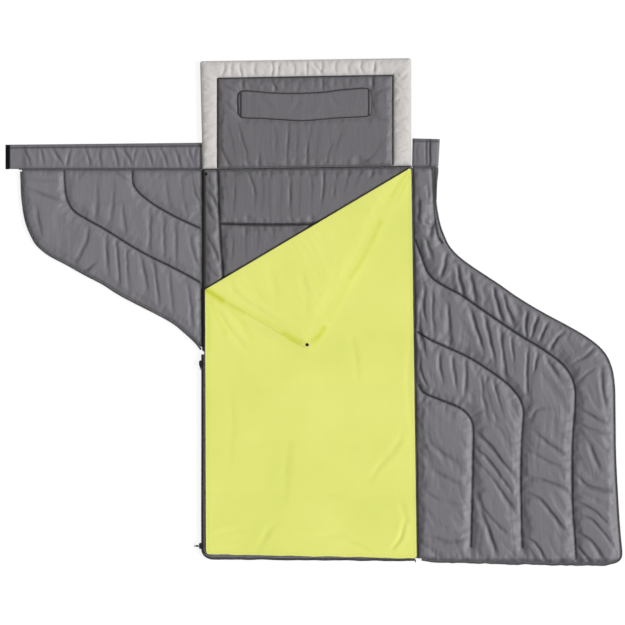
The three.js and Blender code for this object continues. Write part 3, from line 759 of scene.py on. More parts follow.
def rim_loop(faces):
    """The edge of a sheet as ordered vertex indices, with the sheet on its left."""
    pairs = []
    for face in faces:
        pairs += list(zip(face, face[1:] + face[:1]))
    seen = set(pairs)
    following = {a: b for a, b in pairs if (b, a) not in seen}
    start = next(iter(following))
    loop, at = [start], following[start]
    while at != start and len(loop) <= len(following):
        loop.append(at)
        at = following[at]
    return loop


def snap_rim(verts, rim, loop, corners):
    """Puts a sheet's rim back on its outline and on its corners, in plan."""
    verts[rim, :2] = nearest(verts[rim, :2], loop, True)[3]
    for corner in corners:
        gap = np.linalg.norm(verts[rim, :2] - np.array(corner), axis=1)
        verts[rim[int(np.argmin(gap))], :2] = corner


def around_creases(plan, creases, reach):
    """For each crease with plan points within reach widths of its box: its number and sizes,
    those points, their place beside it, and a taper that falls to its ends."""
    for i, (pts, depth, width) in enumerate(creases):
        path = spline(pts, 12)
        low, high = path.min(0) - reach * width, path.max(0) + reach * width
        near = np.nonzero(((plan > low) & (plan < high)).all(1))[0]
        if len(near):
            dist, arc, side, _ = nearest(plan[near], path)
            part = np.clip(arc / path_length(path), 0.02, 0.98)
            yield i, depth, width, near, dist, arc, side, np.sin(part * math.pi) ** 0.6


def crease_relief(plan, creases, seed, gain=1.0):
    """The relief of creases: a valley with a higher fold on one side and a lower on the other."""
    z = np.zeros(len(plan))
    for i, depth, width, near, dist, arc, side, taper in around_creases(plan, creases, 6):
        wobble = 1 + 0.40 * noise1(arc / 48, i * 3.7, seed + 40)
        wide = width * (1.3 + 0.4 * noise1(arc / 80, i * 5.1, seed + 41))
        off = dist * side + 2.6 * noise1(arc / 34, i * 2.3, seed + 42)
        valley = -bell(off, wide * (0.52 + 0.28 * (off < 0)))
        fold = 0.75 * bell(off - wide * 1.45, wide * 1.05)
        fold += 0.35 * bell(off + wide * 1.8, wide * 1.1)
        z[near] += gain * depth * taper * wobble * (valley + fold)
    return z


def crease_mask(plan, creases):
    """Painted shade in creases: 1 in the bottom of each crease, fading to 0 beside it and at its ends."""
    mask = np.zeros(len(plan))
    for _, depth, width, near, dist, _, _, taper in around_creases(plan, creases, 3):
        dark = taper * min(1, depth / 2.6) * bell(dist, width * 0.85)
        mask[near] = np.maximum(mask[near], dark)
    return mask


def quilt_height(plan, loop, lines, crown, z_line, z_edge, creases, seed, line_reach=26,
                 edge_reach=20, pucker=1.5, folds=(), sag=None, reshape=None, gain=1.0, room=4.0):
    """Heights of a quilt's cloth, with the distances to its stitched lines and to its edge.
    folds holds (angle, width, length, height) of streaks; room is how far relief may pass crown."""
    edge_dist, edge_arc, _, _ = nearest(plan, loop, True)
    line_dist = np.full(len(plan), 1e6)
    puckers = np.zeros(len(plan))
    for i, line in enumerate(lines):
        dist, arc, side, _ = nearest(plan, line)
        line_dist = np.minimum(line_dist, dist)
        row = side * 7.3 + i * 13.7
        ripple = noise2(arc / 21, row, seed + 60) + 0.6 * noise2(arc / 10.5, row, seed + 61)
        puckers += ripple * np.exp(-dist / 26) * smooth01(dist / 9)
    ripple = noise1(edge_arc / 24, 0.5, seed + 70) + 0.6 * noise1(edge_arc / 11, 3.5, seed + 71)
    puckers += 0.9 * ripple * np.exp(-edge_dist / 22) * smooth01(edge_dist / 7)
    top = crown - 1.1 * (0.5 + 0.5 * fbm(plan[:, 0] / 170, plan[:, 1] / 170, seed, 2))
    if sag is not None:
        top = top - sag(plan)
    line_rise = 0.60 * dome(line_dist / line_reach) + 0.40 * dome(line_dist / (line_reach * 2.9))
    edge_rise = 0.72 * dome(edge_dist / edge_reach) + 0.28 * dome(edge_dist / (edge_reach * 3))
    z = z_line + (top - z_line) * line_rise
    relief = crease_relief(plan, creases, seed, gain)
    for angle, across, along, amp in folds:
        relief += amp * streaks(plan, angle, across, along, seed + int(across))
    relief += pucker * puckers
    z = z + relief * np.minimum(line_rise, 1) ** 0.5
    z = z_edge + (z - z_edge) * edge_rise
    z = soft_max_limit(z, crown + room, 0.8)
    z = np.maximum(z, z_line + 0.02)
    z = np.where(edge_dist < 0.05, z_edge, z)
    if reshape is not None:
        z = reshape(plan, z)
    return z, line_dist, edge_dist


def body_from_sheet(name, sheet, faces, rim, z_under, mirror_z):
    """Closes a sheet with a flat-shaded wall and far side, and mirrors it in height if asked."""
    n, m = len(sheet), len(rim)
    low = sheet[rim]
    low[:, 2] = z_under
    verts = np.r_[sheet, low]
    out = list(faces)
    for k in range(m):
        after = (k + 1) % m
        out.append((rim[after], rim[k], n + k, n + after))
    out.append(tuple(n + k for k in range(m - 1, -1, -1)))
    if mirror_z is not None:
        verts[:, 2] = 2 * mirror_z - verts[:, 2]
        out = [face[::-1] for face in out]
    ob = mesh_object(name, verts * MM, out)
    smooth = np.ones(len(ob.data.polygons), bool)
    smooth[len(faces):] = False
    ob.data.polygons.foreach_set("use_smooth", smooth)
    return ob


def light_side(ob, gain, lift=0.0):
    """Painted light and shade: marks fold flanks that face the key light (+) and that face away (-), so the
    cloth is painted lighter on the first and darker on the second.
    """
    normal = np.empty(3 * len(ob.data.vertices), np.float32)
    ob.data.vertex_normals.foreach_get("vector", normal)
    x, y, z = normal.reshape(-1, 3).T
    lit = gain * (x * 0.985 - y * 0.17) * smooth01((z - 0.6) / 0.25)
    set_attr(ob, "lit", np.clip(lit + lift, -0.9, 0.9))


def quilt(name, loop, lines, crown, z_line, z_edge, z_under, cell, seed, top_limit, corners=(),
          creases=(), pressure=0, cap=4.0, mirror_z=None, rows=None, shade=None, ink=6.0,
          edge_ink=7.0, limit=None, **shape):
    """A padded quilt face: quilted cloth on one side and a flat back at the seam.
    Two width arguments set how far the painted shade reaches from the stitched lines and from the edge;
    shade adds painted shadows of its own."""
    grid = fitted_grid(loop, lines if rows is None else rows, cell, corners)

    def height(plan):
        return quilt_height(plan, loop, lines, crown, z_line, z_edge, creases, seed, **shape)

    start = np.c_[grid["plan"], height(grid["plan"])[0]]
    settled = start
    if pressure:
        settled = puff_cloth(start, grid["faces"], grid["pinned"], pressure, cap)
    drawn, faces = refine(start, grid["faces"])
    sheet = refine(settled, grid["faces"])[0]
    # the relief is drawn again on the finer mesh, and the cloth's movement is added to it
    z, line_dist, edge_dist = height(drawn[:, :2])
    rim = rim_loop(faces)
    sheet[:, 2] = z + (sheet[:, 2] - drawn[:, 2])
    sheet[:, 2] = soft_max_limit(sheet[:, 2], top_limit, 0.35)
    if limit is not None:
        sheet[:, 2] = limit(sheet[:, :2], sheet[:, 2])
    sheet[:, 2] = np.maximum(sheet[:, 2], z_under + 0.35)
    snap_rim(sheet, rim, loop, corners)
    sheet[rim, 2] = z_edge
    ob = body_from_sheet(name, sheet, faces, rim, z_under, mirror_z)
    wall = np.zeros(len(rim))
    # painted shade: the thread's colour spreads over the stitched valleys, and shade adds painted shadows
    # along seams, the foot hem and the blanket's crease
    dark = bell(line_dist, ink, 4)
    if shade is not None:
        dark = np.maximum(dark, shade(sheet[:, :2]))
    set_attr(ob, "thread_and_shade", np.r_[dark, wall])
    # painted shade where the quilt's edge rolls down
    set_attr(ob, "edge", np.r_[np.exp(-edge_dist / edge_ink), wall + 1])
    # painted shade in the bottoms of creases
    set_attr(ob, "fold", np.r_[crease_mask(drawn[:, :2], creases), wall])
    return ob


def pad(name, loop, top, bottom, z_rim, cell, corners=()):
    """A closed pad: two sheets that meet at the rim. top and bottom are heights or functions
    that give heights for plan points."""
    grid = fitted_grid(loop, [], cell, corners)
    flat, faces = refine(np.c_[grid["plan"], np.zeros(len(grid["plan"]))], grid["faces"])
    rim = rim_loop(faces)
    snap_rim(flat, rim, loop, corners)
    plan = flat[:, :2]
    n = len(plan)
    high, low = (z(plan) if callable(z) else np.full(n, z) for z in (top, bottom))
    upper = np.c_[plan, high]
    upper[rim, 2] = z_rim
    inner = np.setdiff1d(np.arange(n), rim)
    index = np.arange(n)
    index[inner] = n + np.arange(len(inner))
    under = [tuple(int(index[v]) for v in face[::-1]) for face in faces]
    verts = np.r_[upper, np.c_[plan[inner], low[inner]]]
    ob = mesh_object(name, verts * MM, list(faces) + under)
    # painted shade where the pad's edge rolls down
    dark = np.exp(-edge_distance(plan, loop) / 6.0)
    set_attr(ob, "edge", np.r_[dark, dark[inner]])
    set_attr(ob, "thread_and_shade", np.zeros(len(verts)))
    return ob


def slab_faces(index, rows, cols, flip):
    """Faces of a closed slab. index(i, j, layer) is a vertex; layer 0 is the top, 1 the underside."""
    faces = []

    def wall(i, j, next_i, next_j):
        return (index(i, j, 0), index(i, j, 1), index(next_i, next_j, 1), index(next_i, next_j, 0))

    for i in range(rows - 1):
        for j in range(cols - 1):
            for layer, ring in enumerate((((0, 0), (1, 0), (1, 1), (0, 1)),
                                          ((0, 0), (0, 1), (1, 1), (1, 0)))):
                faces.append(tuple(index(i + di, j + dj, layer) for di, dj in ring))
        faces.append(wall(i, 0, i + 1, 0))
        faces.append(wall(i, cols - 1, i + 1, cols - 1)[::-1])
    for j in range(cols - 1):
        faces.append(wall(0, j, 0, j + 1)[::-1])
        faces.append(wall(rows - 1, j, rows - 1, j + 1))
    return [face[::-1] for face in faces] if flip else faces


def ribbon(name, path, start, end, z_top, thick, cols, step):
    """A strip along a path between two distances to its left. z_top(arc, dist) is its top."""
    center = even(path, step)
    left = normals(center)
    arc = arc_lengths(center)
    n = len(center)
    top = np.array([np.c_[center + left * dist, z_top(arc, dist)]
                    for dist in np.linspace(start, end, cols)])
    low = top.copy()
    low[:, :, 2] -= thick
    verts = np.concatenate([top.reshape(-1, 3), low.reshape(-1, 3)])
    faces = slab_faces(lambda i, j, layer: (layer * cols + j) * n + i, n, cols, end > start)
    return mesh_object(name, verts * MM, faces)


def unit_rows(vectors):
    return vectors / np.maximum(np.linalg.norm(vectors, axis=1), 1e-9)[:, None]


def tube(points, radii, sides):
    """A swept tube with capped ends: vertices and faces."""
    n = len(points)
    tangent = unit_rows(np.gradient(points, axis=0))
    ref = np.tile(np.array([0.0, 0.0, 1.0]), (n, 1))
    ref[np.abs(tangent[:, 2]) > 0.92] = [1.0, 0.0, 0.0]
    axis_a = unit_rows(np.cross(tangent, ref))
    # keep the frame from turning over between steps
    for i in range(1, n):
        carried = axis_a[i - 1] - tangent[i] * (axis_a[i - 1] @ tangent[i])
        axis_a[i] = carried / max(np.linalg.norm(carried), 1e-9)
    axis_b = np.cross(tangent, axis_a)
    turn = np.arange(sides) * 2 * math.pi / sides + math.pi / sides
    ring = (np.cos(turn)[None, :, None] * axis_a[:, None]
            + np.sin(turn)[None, :, None] * axis_b[:, None])
    radius = np.broadcast_to(radii, n)[:, None, None]
    verts = (points[:, None] + radius * ring).reshape(-1, 3)
    i = np.arange(n - 1)[:, None] * sides
    k = np.arange(sides)[None]
    after = (k + 1) % sides
    quads = np.stack([i + k, i + after, i + sides + after, i + sides + k], -1).reshape(-1, 4)
    faces = [tuple(quad) for quad in quads.tolist()]
    faces.append(tuple(range(sides - 1, -1, -1)))
    faces.append(tuple(range((n - 1) * sides, n * sides)))
    return verts, faces


def coil(name, path, dist, z_mid):
    """The teeth of a coil zip: one helix beside a path. z_mid(arc) is its middle height."""
    half_width, half_height, pitch, wire, steps = 1.45, 0.95, 3.0, 0.42, 10
    center = even(path, pitch / steps)
    left = normals(center)
    arc = arc_lengths(center)
    turn = 2 * math.pi * arc / pitch
    center = center + left * dist
    points = np.c_[center + left * (half_width * np.cos(turn))[:, None],
                   z_mid(arc) + half_height * np.sin(turn)]
    verts, faces = tube(points, wire, 4)
    return mesh_object(name, verts * MM, faces)


def stitches(name, paths, surface, pitch=4.6):
    """Rows of quilting stitches on a surface. surface maps plan points to heights."""
    length, radius, lift, end_drop = 3.5, 0.45, 0.25, 0.5
    # place along the stitch, part of the radius
    profile = [(-0.5, 0.15), (-0.36, 0.8), (0.0, 1.0), (0.36, 0.8), (0.5, 0.15)]
    all_verts, all_faces, count = [], [], 0
    for path in paths:
        total = path_length(path)
        knots = even(path, total / max(2, int(total / pitch)))
        mid = 0.5 * (knots[1:] + knots[:-1])
        heading = unit_rows(knots[1:] - knots[:-1])
        reach = heading * length * 0.5
        heights = surface(np.r_[mid - reach, mid, mid + reach]).reshape(3, -1)
        for i, (z_start, z_mid, z_end) in enumerate(heights.T):
            if not np.isfinite([z_start, z_mid, z_end]).all():
                continue
            points = []
            for at, _ in profile:
                z = (z_start * (0.5 - at) + z_end * (0.5 + at)) * 0.5 + z_mid * 0.5
                drop = end_drop if abs(at) > 0.4 else 0.0
                points.append(np.r_[mid[i] + heading[i] * length * at, z + lift - drop])
            verts, faces = tube(np.array(points), [radius * part for _, part in profile], 5)
            all_verts.append(verts)
            all_faces += [tuple(v + count for v in face) for face in faces]
            count += len(verts)
    return mesh_object(name, np.concatenate(all_verts) * MM, all_faces)


def surface_of(ob):
    """A function that gives the height of a piece's top at plan points."""
    mesh = ob.data
    tree = BVHTree.FromPolygons([v.co for v in mesh.vertices], [p.vertices for p in mesh.polygons])

    def heights(plan):
        out = np.full(len(plan), np.nan)
        for i, (x, y) in enumerate(plan):
            hit = tree.ray_cast(Vector((x * MM, y * MM, 0.2)), Vector((0, 0, -1)))[0]
            if hit is not None:
                out[i] = hit.z * 1000
        return out

    return heights


# ---------------------------------------------------------------- materials
def linear(rgb):
    """Linear color from 0-255 sRGB."""
    return tuple(v / 255 / 12.92 if v <= 10 else ((v / 255 + 0.055) / 1.055) ** 2.4 for v in rgb)


def tint(color, factor, lift=0.0):
    """A color scaled by one factor or by three, at most 1."""
    factors = factor if isinstance(factor, tuple) else (factor,) * 3
    return tuple(min(1, v * f + lift) for v, f in zip(color, factors))


class Mat:
    """Wires a procedural material round a Principled shader."""

    def __init__(self, name, textured=True):
        self.material = bpy.data.materials.new(name)
        self.material.use_nodes = True
        self.tree = self.material.node_tree
        self.tree.nodes.clear()
        output = self.node("OutputMaterial")
        self.shader = self.node("BsdfPrincipled")
        self.tree.links.new(self.shader.outputs[0], output.inputs[0])
        if textured:
            self.object_co = self.node("TexCoord").outputs["Object"]

    def node(self, kind):
        return self.tree.nodes.new("ShaderNode" + kind)

    def put(self, socket, value):
        if hasattr(value, "is_output"):
            self.tree.links.new(value, socket)
        else:
            socket.default_value = value

    def fill(self, node, **values):
        for key, value in values.items():
            self.put(node.inputs[key.replace("_", " ")], value)
        return node.outputs

    def mapping(self, scale, turn=0):
        return self.fill(self.node("Mapping"), Vector=self.object_co, Scale=scale,
                         Rotation=(0, 0, turn))[0]

    def noise(self, scale, detail=2.0, rough=0.5, vec=None, distort=0.0):
        return self.fill(self.node("TexNoise"), Vector=vec or self.object_co, Scale=scale,
                         Detail=detail, Roughness=rough, Distortion=distort)["Fac"]

    def wave(self, scale, direction):
        node = self.node("TexWave")
        node.bands_direction = direction
        return self.fill(node, Vector=self.object_co, Scale=scale)["Fac"]

    def math(self, operation, first, second):
        node = self.node("Math")
        node.operation = operation
        self.put(node.inputs[0], first)
        self.put(node.inputs[1], second)
        return node.outputs[0]

    def add(self, first, second):
        return self.math("ADD", first, second)

    def mul(self, first, second):
        return self.math("MULTIPLY", first, second)

    def ramp(self, value, low=0.3, high=0.7, to=(0.0, 1.0)):
        return self.fill(self.node("MapRange"), Value=value, From_Min=low, From_Max=high,
                         To_Min=to[0], To_Max=to[1])[0]

    def signed(self, value):
        return self.ramp(value, to=(-1, 1))

    def mix(self, factor, first, second):
        node = self.node("Mix")
        node.data_type = "RGBA"
        self.put(node.inputs["Factor"], factor)
        for k, value in ((6, first), (7, second)):
            self.put(node.inputs[k], (*value[:3], 1.0) if isinstance(value, tuple) else value)
        return node.outputs[2]

    def attr(self, name):
        node = self.node("Attribute")
        node.attribute_name = name
        return node.outputs["Fac"]

    def paint(self, color, attribute, amount, other):
        """Color turned to another by an amount where an attribute is 1."""
        return self.mix(self.mul(self.attr(attribute), amount), color, other)

    def bump(self, height, distance, strength, after=None):
        node = self.node("Bump")
        self.fill(node, Height=height, Distance=distance, Strength=strength)
        if after is not None:
            self.put(node.inputs["Normal"], after)
        return node.outputs[0]

    def finish(self, **values):
        """Sets the shader's inputs and returns the material."""
        for key, value in values.items():
            if isinstance(value, tuple) and len(value) == 3:
                values[key] = (*value, 1.0)
        self.fill(self.shader, **values)
        return self.material


# colour of the quilting thread, also painted over the stitched valleys and seams as shade
THREAD_AND_SHADE_RGB = (24, 22, 25)


def taffeta(name, rgb, thread_and_shade_rgb=THREAD_AND_SHADE_RGB, rough=0.46, sheen=0.12, weave=250):
    """Plain-weave polyester with a soft satin sheen."""
    mat = Mat(name)
    color = linear(rgb)
    # tone: broad patches, clouds and slubs in both directions
    broad = mat.signed(mat.noise(2.2, detail=3))
    cloudy = mat.signed(mat.noise(17, detail=3, rough=0.6, vec=mat.mapping((1, 0.45, 1), 0.4)))
    slubs = [mat.signed(mat.noise(160, rough=0.6, vec=mat.mapping(scale)))
             for scale in ((1, 0.12, 1), (0.12, 1, 1))]
    tone = mat.add(mat.mul(broad, 0.03), mat.mul(cloudy, 0.03))
    tone = mat.add(tone, mat.mul(mat.add(*slubs), 0.0108))
    # painted light and shade: lighter on flanks that face the key light, darker on those that face away
    painted_flank_light = mat.add(mat.mul(mat.attr("lit"), 0.42), 1.0)
    scaled = mat.node("VectorMath")
    scaled.operation = "SCALE"
    scaled.inputs[0].default_value = color
    mat.put(scaled.inputs["Scale"], mat.mul(mat.add(tone, 1.0), painted_flank_light))
    # painted shade in the bottoms of creases
    col = mat.paint(scaled.outputs[0], "fold", 0.50, tint(color, 0.45))
    # thread colour over a band wider than the thread: painted shade of the stitched valleys, and painted
    # shadows along seams and the blanket's crease
    col = mat.paint(col, "thread_and_shade", 0.97, linear(thread_and_shade_rgb))
    # painted shade where the quilt's edge rolls down
    col = mat.paint(col, "edge", 0.35, tint(color, 0.35))
    # relief: weave, crinkle and long streaks
    crinkle = mat.noise(55, detail=3, rough=0.55, vec=mat.mapping((1, 0.5, 1), 0.3), distort=0.6)
    long = mat.noise(34, detail=3, rough=0.6, vec=mat.mapping((1, 0.14, 1), 0.12), distort=0.5)
    woven = mat.add(mat.wave(weave, "X"), mat.wave(weave, "Y"))
    normal = mat.bump(woven, distance=0.00025, strength=0.35)
    normal = mat.bump(crinkle, distance=0.0016, strength=0.5, after=normal)
    normal = mat.bump(long, distance=0.0042, strength=0.5, after=normal)
    return mat.finish(
        Base_Color=col, Normal=normal, Sheen_Weight=sheen, Sheen_Roughness=0.45,
        Roughness=mat.ramp(mat.noise(30), to=(rough - 0.05, rough + 0.07)),
        Specular_IOR_Level=0.34, Sheen_Tint=(1, 1, 1, 1))


def heather(name, rgb):
    """Light melange cloth: two greys spun together."""
    mat = Mat(name)
    color = linear(rgb)
    fibre = mat.noise(420, detail=3, rough=0.65, vec=mat.mapping((1, 0.35, 1), 0.5))
    tuft = mat.noise(120, detail=3, rough=0.6)
    blend = mat.ramp(mat.add(mat.mul(fibre, 0.6), mat.mul(tuft, 0.4)))
    col = mat.mix(blend, tint(color, 0.90), tint(color, 1.08))
    col = mat.mix(mat.ramp(mat.noise(14), 0.35, 0.65, to=(0, 0.10)), col, tint(color, 0.7))
    # painted shade where the edge rolls down and at stitched lines
    col = mat.paint(col, "edge", 0.35, tint(color, 0.45))
    col = mat.paint(col, "thread_and_shade", 0.5, tint(color, 0.35))
    woven = mat.add(mat.wave(210, "X"), mat.wave(210, "Y"))
    normal = mat.bump(woven, distance=0.0003, strength=0.4)
    normal = mat.bump(tuft, distance=0.0008, strength=0.4, after=normal)
    return mat.finish(Base_Color=col, Roughness=0.82, Sheen_Weight=0.25, Normal=normal)


def fleece(name, rgb):
    """Thin brushed blanket cloth."""
    mat = Mat(name)
    color = linear(rgb)
    pile = mat.noise(260, detail=3, rough=0.7)
    patch = mat.ramp(mat.noise(3.0, detail=3), 0.35, 0.65)
    col = mat.mix(patch, tint(color, (0.955, 0.965, 0.93)), tint(color, (1.03, 1.02, 1.06)))
    col = mat.mix(mat.ramp(pile, to=(0.0, 0.16)), col, tint(color, (0.72, 0.78, 0.5)))
    # thread colour and painted shade along the hem
    col = mat.paint(col, "thread_and_shade", 0.28, tint(color, (0.62, 0.66, 0.38)))
    # painted shade streaks along the turned corner's edges and folds
    col = mat.mix(mat.attr("streak_shade"), col, tint(color, (0.79, 0.81, 0.27)))
    normal = mat.bump(pile, distance=0.0008, strength=0.45)
    lumps = mat.noise(36, detail=3, rough=0.6)
    normal = mat.bump(lumps, distance=0.0012, strength=0.35, after=normal)
    normal = mat.bump(mat.wave(190, "X"), distance=0.0003, strength=0.2, after=normal)
    return mat.finish(Base_Color=col, Roughness=0.9, Sheen_Weight=0.35, Sheen_Roughness=0.6,
                      Normal=normal, Sheen_Tint=tint(color, 1.2), Specular_IOR_Level=0.2)


def webbing(name, rgb, rib=330, rough=0.78):
    """Narrow woven tape with ribs."""
    mat = Mat(name)
    color = linear(rgb)
    ribs = mat.add(mat.wave(rib, "DIAGONAL"), mat.wave(rib * 1.1, "X"))
    fuzz = mat.noise(300, detail=3, rough=0.6)
    col = mat.mix(mat.ramp(fuzz), tint(color, 0.75), tint(color, 1.35))
    col = mat.mix(mat.ramp(mat.noise(9), 0.35, 0.65, to=(0, 0.25)), col, tint(color, 1.6))
    normal = mat.bump(ribs, distance=0.0004, strength=0.6)
    normal = mat.bump(fuzz, distance=0.0005, strength=0.4, after=normal)
    return mat.finish(Base_Color=col, Roughness=rough, Sheen_Weight=0.2, Normal=normal)


def hard(name, rgb, rough, wear, metallic=0.0, coat=0.0):
    """Painted metal or moulded plastic with a fine grain and brighter worn places."""
    mat = Mat(name)
    color = linear(rgb)
    patch = mat.noise(140, detail=3, rough=0.6)
    grain = mat.noise(700, detail=3, rough=0.6)
    worn = mat.ramp(patch, 0.5, 0.72, to=(0, wear))
    return mat.finish(
        Base_Color=mat.mix(worn, color, tint(color, 2.6, lift=0.03)), Metallic=metallic,
        Normal=mat.bump(grain, distance=0.0001, strength=0.3),
        Roughness=mat.ramp(patch, to=(rough - 0.08, rough + 0.12)), Coat_Weight=coat)


def bristle(name, rgb, scale, rough, sheen, specular):
    """Hook-and-loop face: stiff hooks or soft loops."""
    mat = Mat(name)
    color = linear(rgb)
    cells = mat.fill(mat.node("TexVoronoi"), Vector=mat.object_co, Scale=scale)["Distance"]
    col = mat.mix(mat.ramp(cells, 0.1, 0.7), tint(color, 2.2), tint(color, 0.5))
    lint = mat.ramp(mat.noise(90, detail=3, rough=0.7), to=(0, 0.4))
    return mat.finish(Base_Color=mat.mix(lint, col, tint(color, 1.9)), Roughness=rough,
                      Sheen_Weight=sheen, Specular_IOR_Level=specular,
                      Normal=mat.bump(cells, distance=0.0009, strength=-0.9))


COVER = taffeta("cover_taffeta", (112, 110, 115))
LINING = taffeta("base_taffeta", (103, 101, 105))
SHELL = taffeta("outer_shell_cloth", (78, 77, 81), (28, 27, 29), rough=0.6, sheen=0.15, weave=180)
BORDER = heather("border_heather", (201, 197, 194))
FLEECE = fleece("blanket_fleece", (224, 227, 121))
BINDING = webbing("seam_binding", (38, 36, 39))
BINDING_GREY = webbing("seam_binding_grey", (86, 84, 88))
TAPE = webbing("zip_tape_cloth", (62, 60, 63), rib=260)
TAPE_GREY = webbing("cover_zip_tape_cloth", (74, 72, 76), rib=260)
COIL = hard("zip_coil_nylon", (30, 28, 30), rough=0.38, wear=0.18)
ENAMEL = hard("slider_enamel", (13, 12, 13), rough=0.42, wear=0.12, metallic=0.1, coat=0.1)
NICKEL = hard("stud_black_nickel", (38, 36, 35), rough=0.25, wear=0.3, metallic=0.9)
HOOKS = bristle("hook_strip", (10, 10, 10), scale=620, rough=0.7, sheen=0.0, specular=0.08)
LOOPS = bristle("loop_strip", (33, 31, 33), scale=380, rough=0.95, sheen=0.5, specular=0.5)
THREAD = webbing("quilting_thread", THREAD_AND_SHADE_RGB, rib=800, rough=0.6)


def give(ob, material, slot, body=None, replaced=()):
    """Sets a piece's material, the body it rides on and the CAD nodes it replaces; slot is not used."""
    ob.data.materials.clear()
    ob.data.materials.append(material)
    if body:
        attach(ob, body)
    if replaced:
        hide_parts(*replaced)


# ---------------------------------------------------------------- outlines
# x, y along each zip
UPPER_ZIP = [
    (-1146, 766), (-1144, 720), (-1142, 667), (-1137, 622), (-1132, 588), (-1122, 548),
    (-1106, 509), (-1083, 469), (-1041, 432), (-1005, 411), (-966, 391), (-895, 351),
    (-820, 312), (-761, 274), (-686, 234), (-607, 194), (-540, 156), (-493, 117), (-452, 78),
    (-427, 44),
]
LOWER_ZIP = [
    (497, 775), (497, 720), (499, 667), (502, 627), (508, 588), (517, 548), (531, 509),
    (550, 469), (584, 430), (634, 391), (694, 351), (753, 312), (808, 273), (870, 234),
    (938, 195), (1015, 154), (1084, 114), (1136, 76), (1170, 38), (1190, -4), (1201, -50),
    (1206, -105), (1207, -162), (1208, -250), (1209, -339), (1212, -420), (1216, -497),
    (1223, -615), (1230, -700), (1234, -745), (1230, -768), (1214, -784), (1190, -789),
    (1000, -788), (800, -785), (600, -780), (440, -777),
]
BASE_ZIP = [
    (-431, 38), (-431, -300), (-431, -731), (-428, -746), (-419, -759.5), (-405, -769),
    (-386, -774), (-100, -776), (150, -778), (414, -779),
]
# x, y round the pillow patch
PILLOW_EDGE = [
    (-285, 985), (-285, 1064), (-270, 1078), (-236, 1079), (-160, 1072), (-80, 1070), (0, 1071),
    (60, 1075), (110, 1082), (164, 1087), (226, 1089), (243, 1074), (245, 990), (232, 976),
    (170, 971), (98, 967), (30, 961), (-33, 957), (-110, 961), (-190, 966), (-270, 970),
    (-285, 985),
]
# fold of the lower cover half, and the neck between base and hood
HINGE_A, HINGE_B = np.array([402.0, 777.0]), np.array([422.0, -773.0])
NECK_A, NECK_B = np.array([-424.0, 768.0]), np.array([402.0, 780.0])
# the blanket's crease, with unit vectors along it and from it towards the foot
CREASE_A, CREASE_B = np.array([398.0, 773.0]), np.array([-414.0, 292.0])
CREASE_DIR = (CREASE_B - CREASE_A) / np.linalg.norm(CREASE_B - CREASE_A)
CREASE_IN = np.array([-CREASE_DIR[1], CREASE_DIR[0]])
SEAM_GAP = 3  # from a fold line to the cloth on each side


def hinge_at(y, off):
    """The point of the lower cover's fold at y, moved by off in X."""
    t = (HINGE_A[1] - y) / (HINGE_A[1] - HINGE_B[1])
    return HINGE_A[0] + (HINGE_B[0] - HINGE_A[0]) * t + off, y


def neck_y(x, off):
    return NECK_A[1] + (x - NECK_A[0]) * (NECK_B[1] - NECK_A[1]) / (NECK_B[0] - NECK_A[0]) + off


def neck_at(x, off):
    return x, neck_y(x, off)


zip_base, zip_upper, zip_lower = (spline(edge, 7) for edge in (BASE_ZIP, UPPER_ZIP, LOWER_ZIP))
# the foot edges aren't quite straight, and the lower half's hem hangs below its seam line
x = zip_base[:, 0]
zip_base[:, 1] += (2.0 * noise1(x / 55, 0.5, 91)
                   * smooth01((x + 370) / 60) * smooth01((405 - x) / 50))
x, y = zip_lower.T
zip_lower[:, 1] -= ((8.0 + 2.6 * noise1(x / 27, 1.5, 93)) * smooth01((-735 - y) / 35)
                    * smooth01((x - 430) / 70) * smooth01((1215 - x) / 60))

base_side = offset(zip_base, 13)
foot_right = hinge_at(base_side[-1][1], -SEAM_GAP)
neck_right = hinge_at(neck_y(399, -SEAM_GAP), -SEAM_GAP)
neck_left = neck_at(BASE_LEFT, -SEAM_GAP)
BASE_LOOP = closed_run([neck_left], [(BASE_LEFT, 38)], base_side[base_side[:, 1] < 30],
                       [foot_right], [neck_right])
BASE_CORNERS = [neck_left, foot_right, neck_right]

UPPER_END, LOWER_END = 766.0, 775.0  # y of the cover halves' collar ends
upper_side = offset(zip_upper, 9)
upper_side = upper_side[(upper_side[:, 0] < FLAP_RIGHT - 4) & (upper_side[:, 1] < 760)]
UPPER_CORNERS = [(FLAP_RIGHT, UPPER_END), (upper_side[0][0], UPPER_END), (FLAP_RIGHT, 66)]
UPPER_LOOP = closed_run(UPPER_CORNERS[:1], UPPER_CORNERS[1:2], upper_side, UPPER_CORNERS[2:])

lower_side = offset(zip_lower, -9)
lower_side = lower_side[lower_side[:, 1] < 770]
LOWER_CORNERS = [hinge_at(LOWER_END, SEAM_GAP), hinge_at(-768, SEAM_GAP),
                 (lower_side[0][0], LOWER_END)]
LOWER_LOOP = closed_run(LOWER_CORNERS[:1], LOWER_CORNERS[1:2], lower_side[::-1],
                        LOWER_CORNERS[2:])

PANEL_CORNERS = [neck_at(-365, SEAM_GAP), neck_at(327, SEAM_GAP), (327, 1139), (-365, 1127)]
PANEL_LOOP = dense(PANEL_CORNERS)
hood_left, hood_right = neck_at(-424, SEAM_GAP), neck_at(400, SEAM_GAP)
HOOD_FAR = [(400, 1207), (-434, 1195)]
HOOD_LOOP = dense(round_corners([hood_left, hood_right] + HOOD_FAR, [0, 0, 12, 12]))
BORDER_CORNERS = [
    hood_left, (-365.4, neck_y(-365, SEAM_GAP)), (-365.4, 1127.4), (327.4, 1139.4),
    (327.4, neck_y(327, SEAM_GAP)), hood_right,
]
BORDER_LOOP = dense(round_corners(BORDER_CORNERS + HOOD_FAR, [0] * 6 + [12, 12]))
PILLOW = even(spline(PILLOW_EDGE, 5), 5.0)[:-1][::-1]
PILLOW_RING = np.r_[PILLOW, PILLOW[:1]]

